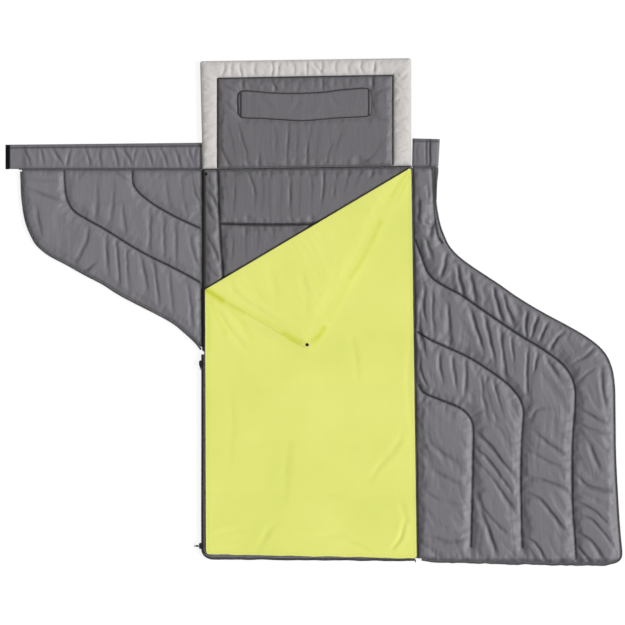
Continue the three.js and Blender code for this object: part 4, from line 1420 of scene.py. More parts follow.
UPPER_LINES, LOWER_LINES, BASE_LINES = (
    [spline(curve, 9) for curve in curves] for curves in (UPPER_CURVES, LOWER_CURVES, BASE_CURVES))


def below_crease(plan):
    """Distance from the blanket's crease towards the foot."""
    return (plan - CREASE_A) @ CREASE_IN


# ---------------------------------------------------------------- local shapes of the quilts
def base_sag(plan):
    """The base lies lower under the blanket."""
    return 1.6 * smooth01((below_crease(plan) + 10) / 60)


def crease_shade(plan):
    """Dark band of the base along the blanket's crease."""
    width = 5.4 + 1.5 * noise2(plan[:, 0] / 21, plan[:, 1] / 21, 7)
    return 0.88 * bell(below_crease(plan) + 3.6, width, 4)


def side_shade(plan):
    """Dark band where the upper half turns down into the seam beside the base."""
    ragged = noise1(plan[:, 1] / 19, 0, 8)
    return (0.80 + 0.14 * ragged) * bell(FLAP_RIGHT - plan[:, 0], 10.2 + 1.8 * ragged, 4)


def foot_shade(plan):
    """Dark band along the foot hem of the lower half."""
    x, y = plan.T
    below = -791.0 - y + 12 * smooth01((520 - x) / 90)
    return 0.45 * smooth01((below + 30 + 5 * noise1(x / 40, 0, 9)) / 14)


def stay_low(z, part, top, soft):
    """Keeps z under top where part is 1, so that a folded collar can lie there."""
    return np.where(part > 0, z * (1 - part) + soft_max_limit(z, top, soft) * part, z)


def lower_collar_rest(plan, z):
    part = smooth01((plan[:, 1] - 630) / 24) * smooth01((545 - plan[:, 0]) / 24)
    return stay_low(z, part, 21.3, 0.35)


def upper_collar_rest(plan, z):
    return stay_low(z, smooth01((plan[:, 1] - 622) / 26), 22.9, 0.4)


def stud_table(plan, z):
    """Raises the base to a flat place under the snap stud."""
    dist = np.linalg.norm(plan - STUD, axis=1)
    table = STUD_TOP - 1.5 - np.maximum(dist - 9.0, 0) * 1.5
    return np.where(dist < 24, np.maximum(z, table), z)


def under_pillow(plan, z):
    """Draws the hood panel down along the pillow patch, which it carries."""
    dist = edge_distance(plan, PILLOW)
    trench = 24.0 + (z - 24.0) * dome(dist / 26)
    seat = np.minimum(np.minimum(z, 27.2), 24.0 + 3.2 * dome(dist / 30))
    return np.where(inside(plan, PILLOW), seat, trench)


def outer_quilt(name, loop, lines, seam, cell, corners, seed, body, replaced, **shape):
    """The shell under a piece: a quilt mirrored about its seam, without cloth settling."""
    shape = {"z_under": seam + 0.2, "line_reach": 28, **shape}
    ob = quilt(name, loop, lines, crown=2 * seam - 0.9, cell=cell, corners=corners, seed=seed,
               top_limit=2 * seam - 0.3, mirror_z=seam, **shape)
    give(ob, SHELL, "outer_shell_fabric", body, replaced)


def cover_lining(half, loop, lines, cell, corners, seed, lit, lift=0.0, **shape):
    ob = quilt(f"{half}_lining_quilt", loop, lines, crown=FLAP_TOP - 0.8, z_line=12.2,
               z_edge=11.5, z_under=COVER_SEAM + 0.2, cell=cell, corners=corners, seed=seed,
               pressure=2.2, top_limit=FLAP_TOP + 3.5, line_reach=20, edge_reach=16, **shape)
    light_side(ob, lit, lift)
    give(ob, COVER, "cover_fabric", half, (f"{half}_lining", f"{half}_fill"))
    return ob


# ---------------------------------------------------------------- base
base_lining = quilt(
    "base_lining_quilt", BASE_LOOP, BASE_LINES, crown=BASE_TOP - 1.6, z_line=15.6, z_edge=14.6,
    z_under=BASE_SEAM + 0.2, cell=9.0, corners=BASE_CORNERS, creases=BASE_CREASES, seed=3,
    pressure=2.2, top_limit=BASE_TOP + 0.2, gain=1.5, room=1.2, sag=base_sag,
    reshape=stud_table, line_reach=20, edge_reach=11, shade=crease_shade, edge_ink=4.0,
    folds=((84, 40, 260, 1.1), (98, 19, 150, 0.9)), pucker=2.2)
light_side(base_lining, 1.7, 0.04)
give(base_lining, LINING, "base_lining_fabric", "base", ("base_lining", "base_fill"))
outer_quilt("base_outer_quilt", BASE_LOOP, BASE_LINES, BASE_SEAM, 14.0, BASE_CORNERS, 5, "base",
            ("base_shell",), z_line=15.2, z_edge=14.5, line_reach=30, folds=((80, 50, 240, 0.7),))

# ---------------------------------------------------------------- cover halves
upper_lining = cover_lining(
    "upper_cover", UPPER_LOOP, UPPER_LINES, 8.0, UPPER_CORNERS, 11, lit=0.35, lift=0.12,
    creases=UPPER_CREASES, pucker=2.2, gain=2.2, shade=side_shade, ink=4.4,
    limit=upper_collar_rest, folds=((86, 120, 420, 2.2), (84, 38, 240, 0.9), (66, 18, 130, 0.5)))
outer_quilt("upper_cover_outer_quilt", UPPER_LOOP, UPPER_LINES, COVER_SEAM, 11.0, UPPER_CORNERS,
            13, "upper_cover", ("upper_cover_shell",), z_line=12.0, z_edge=11.4,
            folds=((84, 50, 240, 0.7),))
lower_lining = cover_lining(
    "lower_cover", LOWER_LOOP, LOWER_LINES, 8.5, LOWER_CORNERS, 21, lit=1.95,
    creases=LOWER_CREASES, pucker=2.6, gain=2.9, shade=foot_shade, ink=5.0,
    limit=lower_collar_rest,
    folds=((-70, 120, 420, 2.3), (-54, 40, 230, 2.0), (-82, 18, 130, 0.9)))
outer_quilt("lower_cover_outer_quilt", LOWER_LOOP, LOWER_LINES, COVER_SEAM, 13.0, LOWER_CORNERS,
            23, "lower_cover", ("lower_cover_shell",), z_line=12.0, z_edge=11.4,
            folds=((-60, 50, 240, 0.7),))

# ---------------------------------------------------------------- hood
hood_lining = quilt(
    "hood_lining_quilt", PANEL_LOOP, [], crown=HOOD_TOP - 1.2, z_line=15, z_edge=14.8,
    z_under=BASE_SEAM + 0.2, cell=8.0, corners=PANEL_CORNERS, creases=HOOD_CREASES, seed=31,
    pressure=2.0, top_limit=HOOD_TOP + 1.2, reshape=under_pillow, gain=1.5, room=1.5,
    folds=((86, 40, 240, 0.7), (70, 20, 150, 0.35)), rows=[PILLOW_RING], edge_reach=11,
    edge_ink=4.0)
light_side(hood_lining, 1.0)
give(hood_lining, LINING, "base_lining_fabric", "hood", ("hood_lining", "hood_panel_fill"))
outer_quilt("hood_outer_quilt", HOOD_LOOP, [], BASE_SEAM, 12.0, [hood_left, hood_right], 33,
            "hood", ("hood_shell", "hood_fill"), z_line=14.6, z_edge=14.4,
            z_under=BASE_SEAM + 0.15, edge_reach=30,
            folds=((88, 50, 220, 0.8), (10, 60, 200, 0.5)))
border = quilt(
    "hood_border_pad", BORDER_LOOP, [], crown=25.6, z_line=15, z_edge=14.9,
    z_under=BASE_SEAM + 0.2, cell=7.0, corners=BORDER_CORNERS, creases=BORDER_CREASES, seed=35,
    pressure=1.6, cap=3.0, top_limit=29, edge_reach=15, pucker=2.1, gain=1.3,
    folds=((45, 16, 60, 0.6), (130, 26, 60, 0.5)))
give(border, BORDER, "border_fabric", "hood", ("hood_border",))

PIPING_POINTS = np.array([(-365.2, neck_y(-365, 4)), (-365.2, 1127.2), (327.2, 1139.2),
                          (327.2, neck_y(327, 4))])
piping_path = np.concatenate([even(PIPING_POINTS[i : i + 2], 6)[:-1] for i in range(3)])
piping = ribbon(
    "hood_panel_piping", piping_path, -2.6, 2.6,
    lambda arc, dist: 20.4 - 0.35 * dist * dist + 0.5 * noise1(arc / 14, 4.5, 36),
    thick=3.0, cols=7, step=6.0)
give(piping, BINDING, "binding_tape", "hood")

# ---------------------------------------------------------------- pillow patch
TUCKS = (-273.0, 231.0)  # x of the stitched tucks inside both ends


def pillow_top(plan):
    dist, arc, _, _ = nearest(plan, PILLOW, True)
    z = 25.4 + (30.4 - 25.4) * (0.6 * dome(dist / 14) + 0.4 * dome(dist / 44))
    z += crease_relief(plan, PILLOW_CREASES, 37) * smooth01(dist / 12)
    z += 0.9 * noise1(arc / 17, 2.5, 38) * np.exp(-dist / 16) * smooth01(dist / 6)
    z += 0.35 * streaks(plan, 10, 34, 150, 39) * smooth01(dist / 20)
    for tuck_x in TUCKS:
        z -= 1.5 * bell(plan[:, 0] - tuck_x, 2.6) * smooth01(dist / 9)
    return z


pillow = pad("pillow_pad", PILLOW, pillow_top, 25.1, 25.3, 6.0)
plan = plan_of(pillow)
dist = edge_distance(plan, PILLOW)
# painted shade, in the thread's colour, in the tucks and round the patch's rim where the panel dips; the
# edge value paints shade at the rolled rim
tuck_dark = [bell(plan[:, 0] - tuck_x, 4.0, 4) * smooth01(dist / 7) for tuck_x in TUCKS]
set_attr(pillow, "thread_and_shade", np.maximum.reduce(tuck_dark + [bell(dist, 5.2, 4)]))
set_attr(pillow, "edge", np.exp(-dist / 4.0))
give(pillow, LINING, "base_lining_fabric", "hood", ("pillow_panel",))


# ---------------------------------------------------------------- collars
def collar_height(plan, loop, creases, seed, z_low, z_high):
    dist, arc, _, _ = nearest(plan, loop, True)
    z = z_low + (z_high - z_low) * (0.7 * dome(dist / 16) + 0.3 * dome(dist / 42))
    relief = crease_relief(plan, creases, seed, 2.0) + 1.1 * streaks(plan, 78, 22, 120, seed)
    ripple = noise1(arc / 19, 1.5, seed + 3)
    relief += 1.5 * ripple * np.exp(-dist / 18) * smooth01(dist / 6)
    return z + relief * smooth01(dist / 12) * np.clip((z_high - z_low) / 6, 0.15, 1)


def finish_collar(ob, thread_and_shade, creases, lit, body, replaced):
    set_attr(ob, "thread_and_shade", thread_and_shade)
    set_attr(ob, "fold", crease_mask(plan_of(ob), creases))
    light_side(ob, lit)
    give(ob, COVER, "cover_fabric", body, replaced)


COLLAR_RIGHT = cad("upper_collar")[1][0]
TAB_LEFT, TAB_RIGHT = (corner[0] for corner in cad("upper_collar_tab"))
HEM = 13  # from the free edge to the hem's seam


def collar_edge(x):
    """y of the upper collar's free edge."""
    return 866 + (x + 1203) * 8 / 773


UPPER_COLLAR_CORNERS = [
    (TAB_LEFT, 770), (COLLAR_RIGHT + 5.6, 770), (COLLAR_RIGHT + 3.4, collar_edge(COLLAR_RIGHT)),
    (TAB_LEFT, collar_edge(TAB_LEFT)),
]
UPPER_COLLAR = dense(UPPER_COLLAR_CORNERS, 6)


def upper_collar_top(plan):
    x, y = plan.T
    thick = 2.2 + (8.6 - 2.2) * smooth01((x - (TAB_RIGHT - 10)) / 34)  # the tab is thin
    z = collar_height(plan, UPPER_COLLAR, UPPER_COLLAR_CREASES, 41, 1.1, thick)
    z = soft_max_limit(z, 10.5, 0.4)
    z = z - 1.3 * bell(collar_edge(x) - y - HEM, 2.8) * np.clip((thick - 2.2) / 5, 0, 1)
    return np.maximum(np.where(x < TAB_LEFT + 20, np.minimum(z, 2.3), z), 0.9)


upper_collar = pad("upper_collar_band", UPPER_COLLAR, upper_collar_top, 0.15, 0.9, 7.0,
                   UPPER_COLLAR_CORNERS)
x, y = plan_of(upper_collar).T
# painted shade along the hem seam, in the thread's colour; the far end, under the hook patch, is painted in
# the thread's colour
finish_collar(upper_collar, np.maximum(0.8 * bell(collar_edge(x) - y - HEM, 3.2), x < -1183),
              UPPER_COLLAR_CREASES, 0.7, "upper_collar", ("upper_collar", "upper_collar_tab"))


def patch_loop(node):
    """Rounded outline of a CAD patch."""
    (left, front, _), (right, back, _) = cad(node)
    corners = [(left, front), (right, front), (right, back), (left, back)]
    return dense(round_corners(corners, [3] * 4), 3)


HOOK_LOOP = patch_loop("collar_hook_patch")


def hook_top(plan):
    dist = edge_distance(plan, HOOK_LOOP)
    nub = 0.3 * np.abs(np.sin(plan[:, 0] * 1.9) * np.sin(plan[:, 1] * 1.9))
    return 2.45 + 0.9 * dome(dist / 1.6) + nub * smooth01(dist / 1.5)


hook = pad("collar_hook_pad", HOOK_LOOP, hook_top, 2.42, 2.55, 1.7)
give(hook, HOOKS, "hook_and_loop", "upper_collar", ("collar_hook_patch",))

LOWER_COLLAR_CORNERS = [(403, 781), (507, 779), (513, 888), (405, 891)]
LOWER_COLLAR = dense(LOWER_COLLAR_CORNERS, 5)
HOLLOW_X, SEAM_X = 460.0, 473.0  # a shallow hollow and a seam that run along Y


def lower_collar_top(plan):
    z = collar_height(plan, LOWER_COLLAR, LOWER_COLLAR_CREASES, 43, 6.6, 11.5)
    z = z - 0.6 * bell(plan[:, 0] - HOLLOW_X, 8.0) - 1.5 * bell(plan[:, 0] - SEAM_X, 2.6)
    return np.maximum(soft_max_limit(z, 11.9, 0.4), 6.4)


lower_collar = pad("lower_collar_band", LOWER_COLLAR, lower_collar_top, cad("lower_collar")[0][2],
                   6.3, 6.0, LOWER_COLLAR_CORNERS)
x, y = plan_of(lower_collar).T
# painted shade in the hollow and along the seam and hem grooves, in the thread's colour
collar_dark = [0.16 * bell(x - HOLLOW_X, 10.0), bell(x - SEAM_X, 3.6),
               0.7 * bell(y - 880 + (x - 408) * 0.03, 3.0)]
finish_collar(lower_collar, np.maximum.reduce(collar_dark), LOWER_COLLAR_CREASES, 0.8,
              "lower_collar", ("lower_collar",))

# a thin guard behind the zip widens the neck end of the lower half
GUARD_CORNERS = [(484, 778), (484, 636)]
GUARD = dense(GUARD_CORNERS + [(499, 636), (501, 655), (501.5, 686), (503, 718), (507, 753),
                               (507.5, 778)], 5)
guard = pad("neck_zip_guard", GUARD, lambda plan: 6.1 + 0.3 * noise1(plan[:, 1] / 26, 2.5, 47),
            4.7, 5.4, 4.0, GUARD_CORNERS)
give(guard, BINDING_GREY, "binding_tape", "lower_cover")

loop_low, loop_high = (corner[2] for corner in cad("collar_loop_patch"))
loop_pad = pad(
    "collar_loop_pad", patch_loop("collar_loop_patch"), loop_high,
    lambda plan: loop_low - 0.05 - 0.2 * np.abs(noise2(plan[:, 0] / 2.2, plan[:, 1] / 2.2, 45)),
    loop_low + 0.3, 3.0)
give(loop_pad, LOOPS, "hook_and_loop", "lower_collar", ("collar_loop_patch",))

# ---------------------------------------------------------------- blanket, corner turned down
AXIS_Z = float(JOINTS["blanket_corner_fold"]["pos_m"][2]) * 1000
FOLD_RADIUS, SHEET_THICK = 1.75, 1.2
FOLD_ARC = math.pi * FOLD_RADIUS
FOLD_START = 1.0  # the bend starts this far inside the crease
TIP = np.array([-12.0, 60.0])  # the turned-down tip

# unfolded, the tip is as far on the other side of the crease, plus the cloth in the bend
tip_flat = (CREASE_A + CREASE_DIR * ((TIP - CREASE_A) @ CREASE_DIR)
            - CREASE_IN * (below_crease(TIP) + FOLD_ARC - 2 * FOLD_START))
crease_end = CREASE_B + CREASE_IN * FOLD_START
blanket_neck = hinge_at(770, -3)
BLANKET = dense(round_corners(
    [(-410, -750), hinge_at(-766, -1.2), blanket_neck, tuple(tip_flat), tuple(crease_end)],
    [14, 6, 0, 12, 0]), 9)
x, y = BLANKET.T
foot_side = (y < -749) & (x > -380) & (x < 395)
foot_wave = (2.2 * noise1(x / 48, 3.5, 92)
             * smooth01((x + 380) / 50) * smooth01((395 - x) / 50))
BLANKET[foot_side, 1] += foot_wave[foot_side]
crease_line = even(np.array([CREASE_A + CREASE_IN * FOLD_START, crease_end]), 9)
crease_angle = math.degrees(math.atan2(-CREASE_DIR[1], -CREASE_DIR[0]))
grid = fitted_grid(BLANKET, [crease_line], 12.0,
                   [blanket_neck, tuple(crease_end), tuple(tip_flat)], crease_angle)
flat, flat_faces = refine(np.c_[grid["plan"], np.zeros(len(grid["plan"]))], grid["faces"])

# extra rows are cut along the bend
bm = bmesh.new()
for point in flat:
    bm.verts.new((point[0], point[1], 0))
bm.verts.ensure_lookup_table()
for face in flat_faces:
    bm.faces.new([bm.verts[i] for i in face])
for past in [-3.0, -0.001] + [FOLD_ARC * k / 8 for k in range(1, 9)] + [FOLD_ARC + 3.0]:
    at = CREASE_A + CREASE_IN * (FOLD_START - past)
    bmesh.ops.bisect_plane(bm, geom=bm.verts[:] + bm.edges[:] + bm.faces[:], dist=0.02,
                           plane_co=(*at, 0), plane_no=(*CREASE_IN, 0))
bmesh.ops.remove_doubles(bm, verts=bm.verts[:], dist=0.15)
bm.verts.ensure_lookup_table()
bm.verts.index_update()
flat = np.array([v.co[:2] for v in bm.verts])
sheet_faces = [tuple(v.index for v in face.verts) for face in bm.faces]
bm.free()

# roll the sheet over the fold
past = FOLD_START - below_crease(flat)  # cloth length beyond the start of the bend
on_crease = CREASE_A + CREASE_DIR * ((flat - CREASE_A) @ CREASE_DIR)[:, None]
on_corner = past > FOLD_ARC
bend = (past > 0) & ~on_corner
turn = np.clip(past, 0, FOLD_ARC) / FOLD_RADIUS
plan = flat.copy()
plan[bend] = (on_crease + CREASE_IN * (FOLD_START - FOLD_RADIUS * np.sin(turn))[:, None])[bend]
plan[on_corner] = (on_crease
                   + CREASE_IN * (FOLD_START + (past - FOLD_ARC))[:, None])[on_corner]
z_low, z_high = AXIS_Z - FOLD_RADIUS, AXIS_Z + FOLD_RADIUS
hem_dist = edge_distance(flat, BLANKET)
near_crease = smooth01(np.abs(past) / 30)
hem = -0.4 * bell(hem_dist - 9, 2.6)
x, y = plan.T

# lower sheet: it sinks over the base's stitch lines
sink = np.zeros(len(plan))
for line, depth in zip(BASE_LINES, (0.4, 0.5, 2.0, 2.2, 3.2, 3.6, 4.0)):
    sink += depth * bell(nearest(plan, line)[0], 30)
sink = np.minimum(sink, 4.2)
waves = (0.45 * streaks(plan, 4, 60, 330, 51) + 0.3 * fbm(x / 90, y / 70, 52)
         + 0.25 * streaks(plan, 84, 70, 300, 53))
main = -sink - 0.8 + waves + 1.3 * crease_relief(plan, BLANKET_CREASES, 54)
main = soft_max_limit(main, 0.45, 0.25)
# it rises to the free edges of the corner lying on it
free_edges = np.array([CREASE_B + CREASE_IN * 2, TIP, CREASE_A + CREASE_IN * 2])
lift = smooth01(1 - nearest(plan, free_edges)[0] / 45)
main = main * (1 - lift) + 0.6 * lift
main_z = np.maximum(z_low + main * near_crease + hem, z_low - 5.0)
main_z = np.minimum(main_z, AXIS_Z - 0.5 - SHEET_THICK / 2)

# turned corner: its free edges come down to the sheet below, and it is level at the snap
corner = (0.9 + 0.55 * streaks(plan, -60, 34, 210, 55) + 0.35 * fbm(x / 60, y / 60, 56)
          + 1.1 * crease_relief(plan, CORNER_CREASES, 57))
corner = soft_max_limit(soft_min_limit(corner, -0.3, 0.3), 2.2, 0.3)
snap_dist = np.linalg.norm(plan - SNAP, axis=1)
free = smooth01((hem_dist - 2) / 55)
off_snap = smooth01((snap_dist - 9) / 26)
corner = (corner * free * off_snap - 1.25 * (1 - free) * smooth01((snap_dist - 8) / 20)
          + 0.35 * (1 - off_snap))
thick = np.where(on_corner, SHEET_THICK * (0.35 + 0.65 * smooth01(hem_dist / 24)), SHEET_THICK)
corner_z = np.maximum(z_high + corner * near_crease + 0.2 * hem, AXIS_Z + 0.35 + thick / 2)
z = np.where(on_corner, corner_z, main_z)
z = np.where(bend, AXIS_Z - FOLD_RADIUS * np.cos(turn), z)

# thicken along the normals and close the rim
middle = np.c_[plan, z]
probe = mesh_object("tmp", middle, sheet_faces)
normal = np.array([v.normal[:] for v in probe.data.vertices])
bpy.data.objects.remove(probe)
over, under = middle + normal * thick[:, None] / 2, middle - normal * thick[:, None] / 2
rim = rim_loop(sheet_faces)
n = len(middle)
faces = list(sheet_faces) + [tuple(i + n for i in face[::-1]) for face in sheet_faces]
for a, b in zip(rim, rim[1:] + rim[:1]):
    faces.append((b, a, a + n, b + n))
blanket = mesh_object("blanket_sheet", np.r_[over, under] * MM, faces)

# painted shade along the turned corner's edges and the blanket's folds
streak_shade = np.zeros(n)
ragged = 1 + 0.25 * noise2(y / 30, x / 30, 58)
for pts, strength, width in SHADE_STREAKS:
    dist = nearest(plan, spline(pts, 8))[0]
    streak_shade = np.maximum(streak_shade, strength * ragged * bell(dist, width))
streak_shade = np.clip(streak_shade, 0, 1)
set_attr(blanket, "streak_shade", np.r_[streak_shade, streak_shade])
edges = np.empty(2 * len(blanket.data.edges), np.int32)
blanket.data.edges.foreach_get("vertices", edges)
start, end = edges.reshape(-1, 2).T
on_rim = np.zeros(2 * n, bool)
on_rim[rim] = on_rim[np.array(rim) + n] = True
crisp = on_rim[start] & on_rim[end] & ((start < n) == (end < n))
sharp = blanket.data.attributes.new("sharp_edge", "BOOLEAN", "EDGE")
sharp.data.foreach_set("value", crisp)
# thread colour and painted shade along the hem's groove
hem_dark = np.where(bend, 0, np.where(on_corner, 0.22, 0.6) * bell(hem_dist - 9, 3.4))
set_attr(blanket, "thread_and_shade", np.r_[hem_dark, hem_dark])
edge_dark = np.exp(-hem_dist / 4)
set_attr(blanket, "edge", np.r_[edge_dark, edge_dark])
give(blanket, FLEECE, "blanket_fabric", replaced=("blanket", "blanket_corner"))
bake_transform(blanket, "base", "blanket_corner", (0, 0, (AXIS_Z - 0.35) * MM),
         (0, 0, (AXIS_Z + 0.3) * MM))


def press_under(ob, roof_points):
    """Lowers a quilt until it is clear of the lowest roof points round each place."""
    gap, cell = 0.6, 8.0
    cells = np.floor(roof_points[:, :2] / cell).astype(int)
    origin = cells.min(0) - 3
    size = cells.max(0) - origin + 4
    roof = np.full(size, np.inf)
    np.minimum.at(roof, tuple((cells - origin).T), roof_points[:, 2])
    wide = roof.copy()
    for i in (-1, 0, 1):
        for j in (-1, 0, 1):
            wide = np.minimum(wide, np.roll(np.roll(roof, i, 0), j, 1))
    verts = coords(ob.data) * 1000
    at = np.floor(verts[:, :2] / cell).astype(int) - origin
    covered = (at >= 0).all(1) & (at < size).all(1)
    top = np.full(len(verts), np.inf)
    top[covered] = wide[at[covered, 0], at[covered, 1]] - gap
    verts[:, 2] = np.minimum(verts[:, 2], np.maximum(top, BASE_SEAM + 0.6))
    ob.data.vertices.foreach_set("co", (verts * MM).astype(np.float32).ravel())
    ob.data.update()


press_under(base_lining, under[~on_corner & ~bend])


# ---------------------------------------------------------------- bindings that bend at folds
def binding(name, edge_a, edge_b, z_a, z_b, dip, body_a, body_b, seed, thick=1.1, replaced=(),
            material=BINDING):
    """A closed strip from edge_a on body_a to edge_b on body_b, hollowed by dip between them."""
    cols, step = 22, 9.0
    start_a, end_a, start_b, end_b = (np.array(p, float) for p in (*edge_a, *edge_b))
    length = np.linalg.norm(end_a - start_a)
    rows = max(4, int(length / step))
    along = np.linspace(0, 1, rows)[:, None, None]
    across = np.linspace(0, 1, cols)[None, :, None]
    side_a = start_a + (end_a - start_a) * along
    side_b = start_b + (end_b - start_b) * along
    plan = side_a + (side_b - side_a) * across
    arc = length * along[:, :, 0]
    part = across[:, :, 0]
    z = z_a + (z_b - z_a) * part - dip * np.sin(math.pi * part) ** 0.8
    z = z + 0.5 * noise1(arc / 15, seed, seed) * np.sin(math.pi * part)
    top = np.concatenate([plan, z[:, :, None]], -1)
    low = top.copy()
    low[:, :, 2] = np.maximum(low[:, :, 2] - thick, 0.12)
    verts = np.r_[top.reshape(-1, 3), low.reshape(-1, 3)]
    flip = np.cross(top[1, 0] - top[0, 0], top[0, 1] - top[0, 0])[2] < 0
    faces = slab_faces(lambda i, j, layer: (layer * rows + i) * cols + j, rows, cols, flip)
    ob = mesh_object(name, verts * MM, faces)
    give(ob, material, "binding_tape", replaced=replaced)
    # the bend runs between the nearest points of the two edges, across the fold
    fold = np.array(JOINTS[f"{body_b}_fold"]["axis"], float)[:2]
    normal = np.array([-fold[1], fold[0]]) / np.linalg.norm(fold)
    reach_a, reach_b = (start_a @ normal, end_a @ normal), (start_b @ normal, end_b @ normal)
    if (start_b + end_b) / 2 @ normal > (start_a + end_a) / 2 @ normal:
        near, far = max(reach_a), min(reach_b)
    else:
        near, far = min(reach_a), max(reach_b)
    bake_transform(ob, body_a, body_b, (*(normal * near * MM), z_a * MM), (*(normal * far * MM), z_b * MM)
             if False else (*(normal * far * MM), z_a * MM))


binding("upper_side_binding", ((BASE_LEFT + 0.2, 47), (BASE_LEFT + 0.2, 770.5)),
        ((FLAP_RIGHT - 0.2, 54), (FLAP_RIGHT - 0.2, 769.5)), 14.0, 11.0, 2.5,
        "base", "upper_cover", seed=61, replaced=("upper_cover_seam_tape",))
binding("lower_side_binding", (hinge_at(-767, -2.8), hinge_at(782, -2.8)),
        (hinge_at(-767, 2.8), hinge_at(781.5, 2.8)), 14.0, 11.0, 2.0,
        "base", "lower_cover", seed=62, replaced=("lower_cover_seam_tape",),
        material=BINDING_GREY)
binding("neck_binding", (neck_at(-417.5, -2.8), neck_at(398, -2.8)),
        (neck_at(-423, 2.8), neck_at(399.5, 2.8)), 14.0, 14.0, 3.4,
        "base", "hood", seed=63, replaced=("neck_seam_tape",))
collar_left, collar_right = upper_side[0][0] - 7, FLAP_RIGHT - 0.5
binding("upper_collar_binding",
        ((collar_left, UPPER_END + 0.1), (collar_right, UPPER_END + 0.1)),
        ((collar_left, 770.2), (collar_right, 770.2)), 10.8, 1.9, 0.5,
        "upper_cover", "upper_collar", seed=64, thick=0.9, material=BINDING_GREY)
binding("lower_collar_binding", ((407, LOWER_END), (486, LOWER_END)),
        ((405.5, 781.0), (500, 779.3)), 11.0, 6.9, 0.6,
        "lower_cover", "lower_collar", seed=65, thick=0.9, material=BINDING_GREY)


# ---------------------------------------------------------------- zips
def zip_side(prefix, path, side, heights, near, far, coil_dist, seed, amp, quiet=(),
             material=TAPE_GREY):
    """One side of a zip: tape and teeth to the left (side 1) or right (-1) of a path.
    heights names the side whose CAD boxes give the heights. quiet holds (start, end) arc
    lengths where the zip lies still."""
    z_tape = cad(f"{heights}_zip_tape")[1][2]
    low, high = cad(f"{heights}_zip_coil")
    z_coil = (low[2] + high[2]) / 2

    def ripple(arc):
        size = np.full_like(arc, amp)
        for start, end in quiet:
            outside = np.maximum(np.maximum(start - arc, arc - end), 0)
            size = size * (1 - smooth01(1 - outside / 30))
        return size * (noise1(arc / 36, 0.5, seed) + 0.5 * noise1(arc / 15, 7.5, seed))

    def tape_top(arc, dist):
        return z_tape + ripple(arc) * np.clip((far - abs(dist)) / (far - near), 0, 1)

    tape = ribbon(f"{prefix}_zip_tape_woven", path, side * near, side * far, tape_top,
                  thick=0.9, cols=4, step=5.0)
    give(tape, material, "zip_tape", prefix, (f"{prefix}_zip_tape",))
    teeth = coil(f"{prefix}_zip_coil_teeth", path, side * coil_dist,
                 lambda arc: z_coil + ripple(arc))
    give(teeth, COIL, "zip_coil", prefix, (f"{prefix}_zip_coil",))


zip_side("base", zip_base, 1, "base", near=2.0, far=12.6, coil_dist=3.0, seed=71, amp=1.1,
         quiet=((0, 378), (380, 769)), material=TAPE)
upper_path = np.r_[zip_upper[zip_upper[:, 1] < 765.5][:-3], [[-434, 54]]]
zip_side("upper_cover", upper_path, 1, "upper_cover", near=1.5, far=8.8, coil_dist=1.8, seed=72,
         amp=1.3)
zip_side("lower_cover", zip_lower, -1, "upper_cover", near=1.5, far=8.8, coil_dist=1.8, seed=73,
         amp=1.3)

# ---------------------------------------------------------------- quilting thread
for name, lines, lining, slot, body in (
    ("upper_cover_stitching", UPPER_LINES, upper_lining, "cover_fabric", "upper_cover"),
    ("lower_cover_stitching", LOWER_LINES, lower_lining, "cover_fabric", "lower_cover"),
    ("base_stitching", BASE_LINES[:3], base_lining, "base_lining_fabric", "base"),
):
    give(stitches(name, lines, surface_of(lining)), THREAD, slot, body)
pillow_seam = np.c_[PILLOW_RING[:, 0] * 0.985 - 0.3, 1023 + (PILLOW_RING[:, 1] - 1023) * 0.95]
tuck_seams = [np.array([(tuck_x, low), (tuck_x, high)])
              for tuck_x, low, high in zip(TUCKS, (970.0, 978.0), (1068.0, 1078.0))]
give(stitches("pillow_stitching", [pillow_seam] + tuck_seams, surface_of(pillow), pitch=4.4),
     THREAD, "base_lining_fabric", "hood")

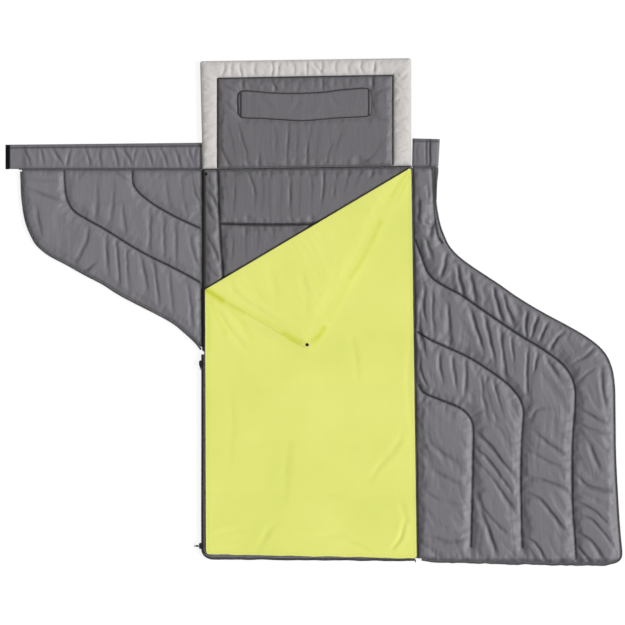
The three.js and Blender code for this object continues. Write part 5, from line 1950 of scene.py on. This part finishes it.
# ---------------------------------------------------------------- small CAD parts that stay
# node, material, bevel width
for node, material, width in (
    ("head_slider", ENAMEL, 0.35), ("head_slider_pull", ENAMEL, 0.25),
    ("foot_slider", ENAMEL, 0.35), ("foot_slider_pull", ENAMEL, 0.25),
    ("base_snap_stud", NICKEL, 0.3), ("corner_snap_cap", NICKEL, 0.5),
    ("corner_snap_socket", NICKEL, 0.3), ("zip_end_stop", ENAMEL, 0.4),
    ("zip_head_stop", ENAMEL, 0.4),
):
    ob = frame["nodes"][node]
    ob.data.materials.clear()
    ob.data.materials.append(material)
    bevel = ob.modifiers.new("rounded", "BEVEL")
    bevel.width = width * MM
    bevel.segments = 2
    bevel.limit_method = "ANGLE"
    bevel.angle_limit = math.radians(40)

# ---------------------------------------------------------------- stage, in metres
FLOOR_HALF, FLOOR_Z = 9, -0.0006
floor = mesh_object("floor", [(x * FLOOR_HALF, y * FLOOR_HALF, FLOOR_Z)
                              for x, y in ((-1, -1), (1, -1), (1, 1), (-1, 1))],
                    [(0, 1, 2, 3)], smooth=False)
floor.data.materials.append(Mat("floor_paper", textured=False).finish(
    Base_Color=(0.16, 0.16, 0.16), Roughness=0.9, Specular_IOR_Level=0.1,
    Emission_Color=(1.0, 1.0, 1.0), Emission_Strength=0.86))

world = bpy.data.worlds.new("studio")
scene.world = world
world.use_nodes = True
background = world.node_tree.nodes["Background"]
background.inputs["Color"].default_value = (1, 1, 1, 1)
background.inputs["Strength"].default_value = 0.36


def sun(name, direction, strength, angle):
    """A sun that shines from a direction, with its angular size in degrees."""
    light = bpy.data.lights.new(name, "SUN")
    light.energy = strength
    light.angle = math.radians(angle)
    ob = bpy.data.objects.new(name, light)
    scene.collection.objects.link(ob)
    ob.rotation_mode = "QUATERNION"
    ob.rotation_quaternion = Vector(direction).normalized().to_track_quat("Z", "Y")


sun("key", direction=(0.97, -0.16, 0.80), strength=3.0, angle=20)
sun("fill", direction=(-0.6, 0.4, 1.2), strength=0.3, angle=60)

VIEW_WIDTH, VIEW_Z = 2.465, 0.025  # the camera looks down and sees this width at this height
lens = bpy.data.cameras.new("photo_camera")
lens.lens = 200
lens.sensor_width = 36
lens.clip_end = 60
camera = bpy.data.objects.new("photo_camera", lens)
scene.collection.objects.link(camera)
camera.location = (0.0099, 0.2031, VIEW_Z + VIEW_WIDTH / 2 / (18 / 200))  # half sensor / lens
scene.camera = camera
scene.view_settings.view_transform = "Standard"
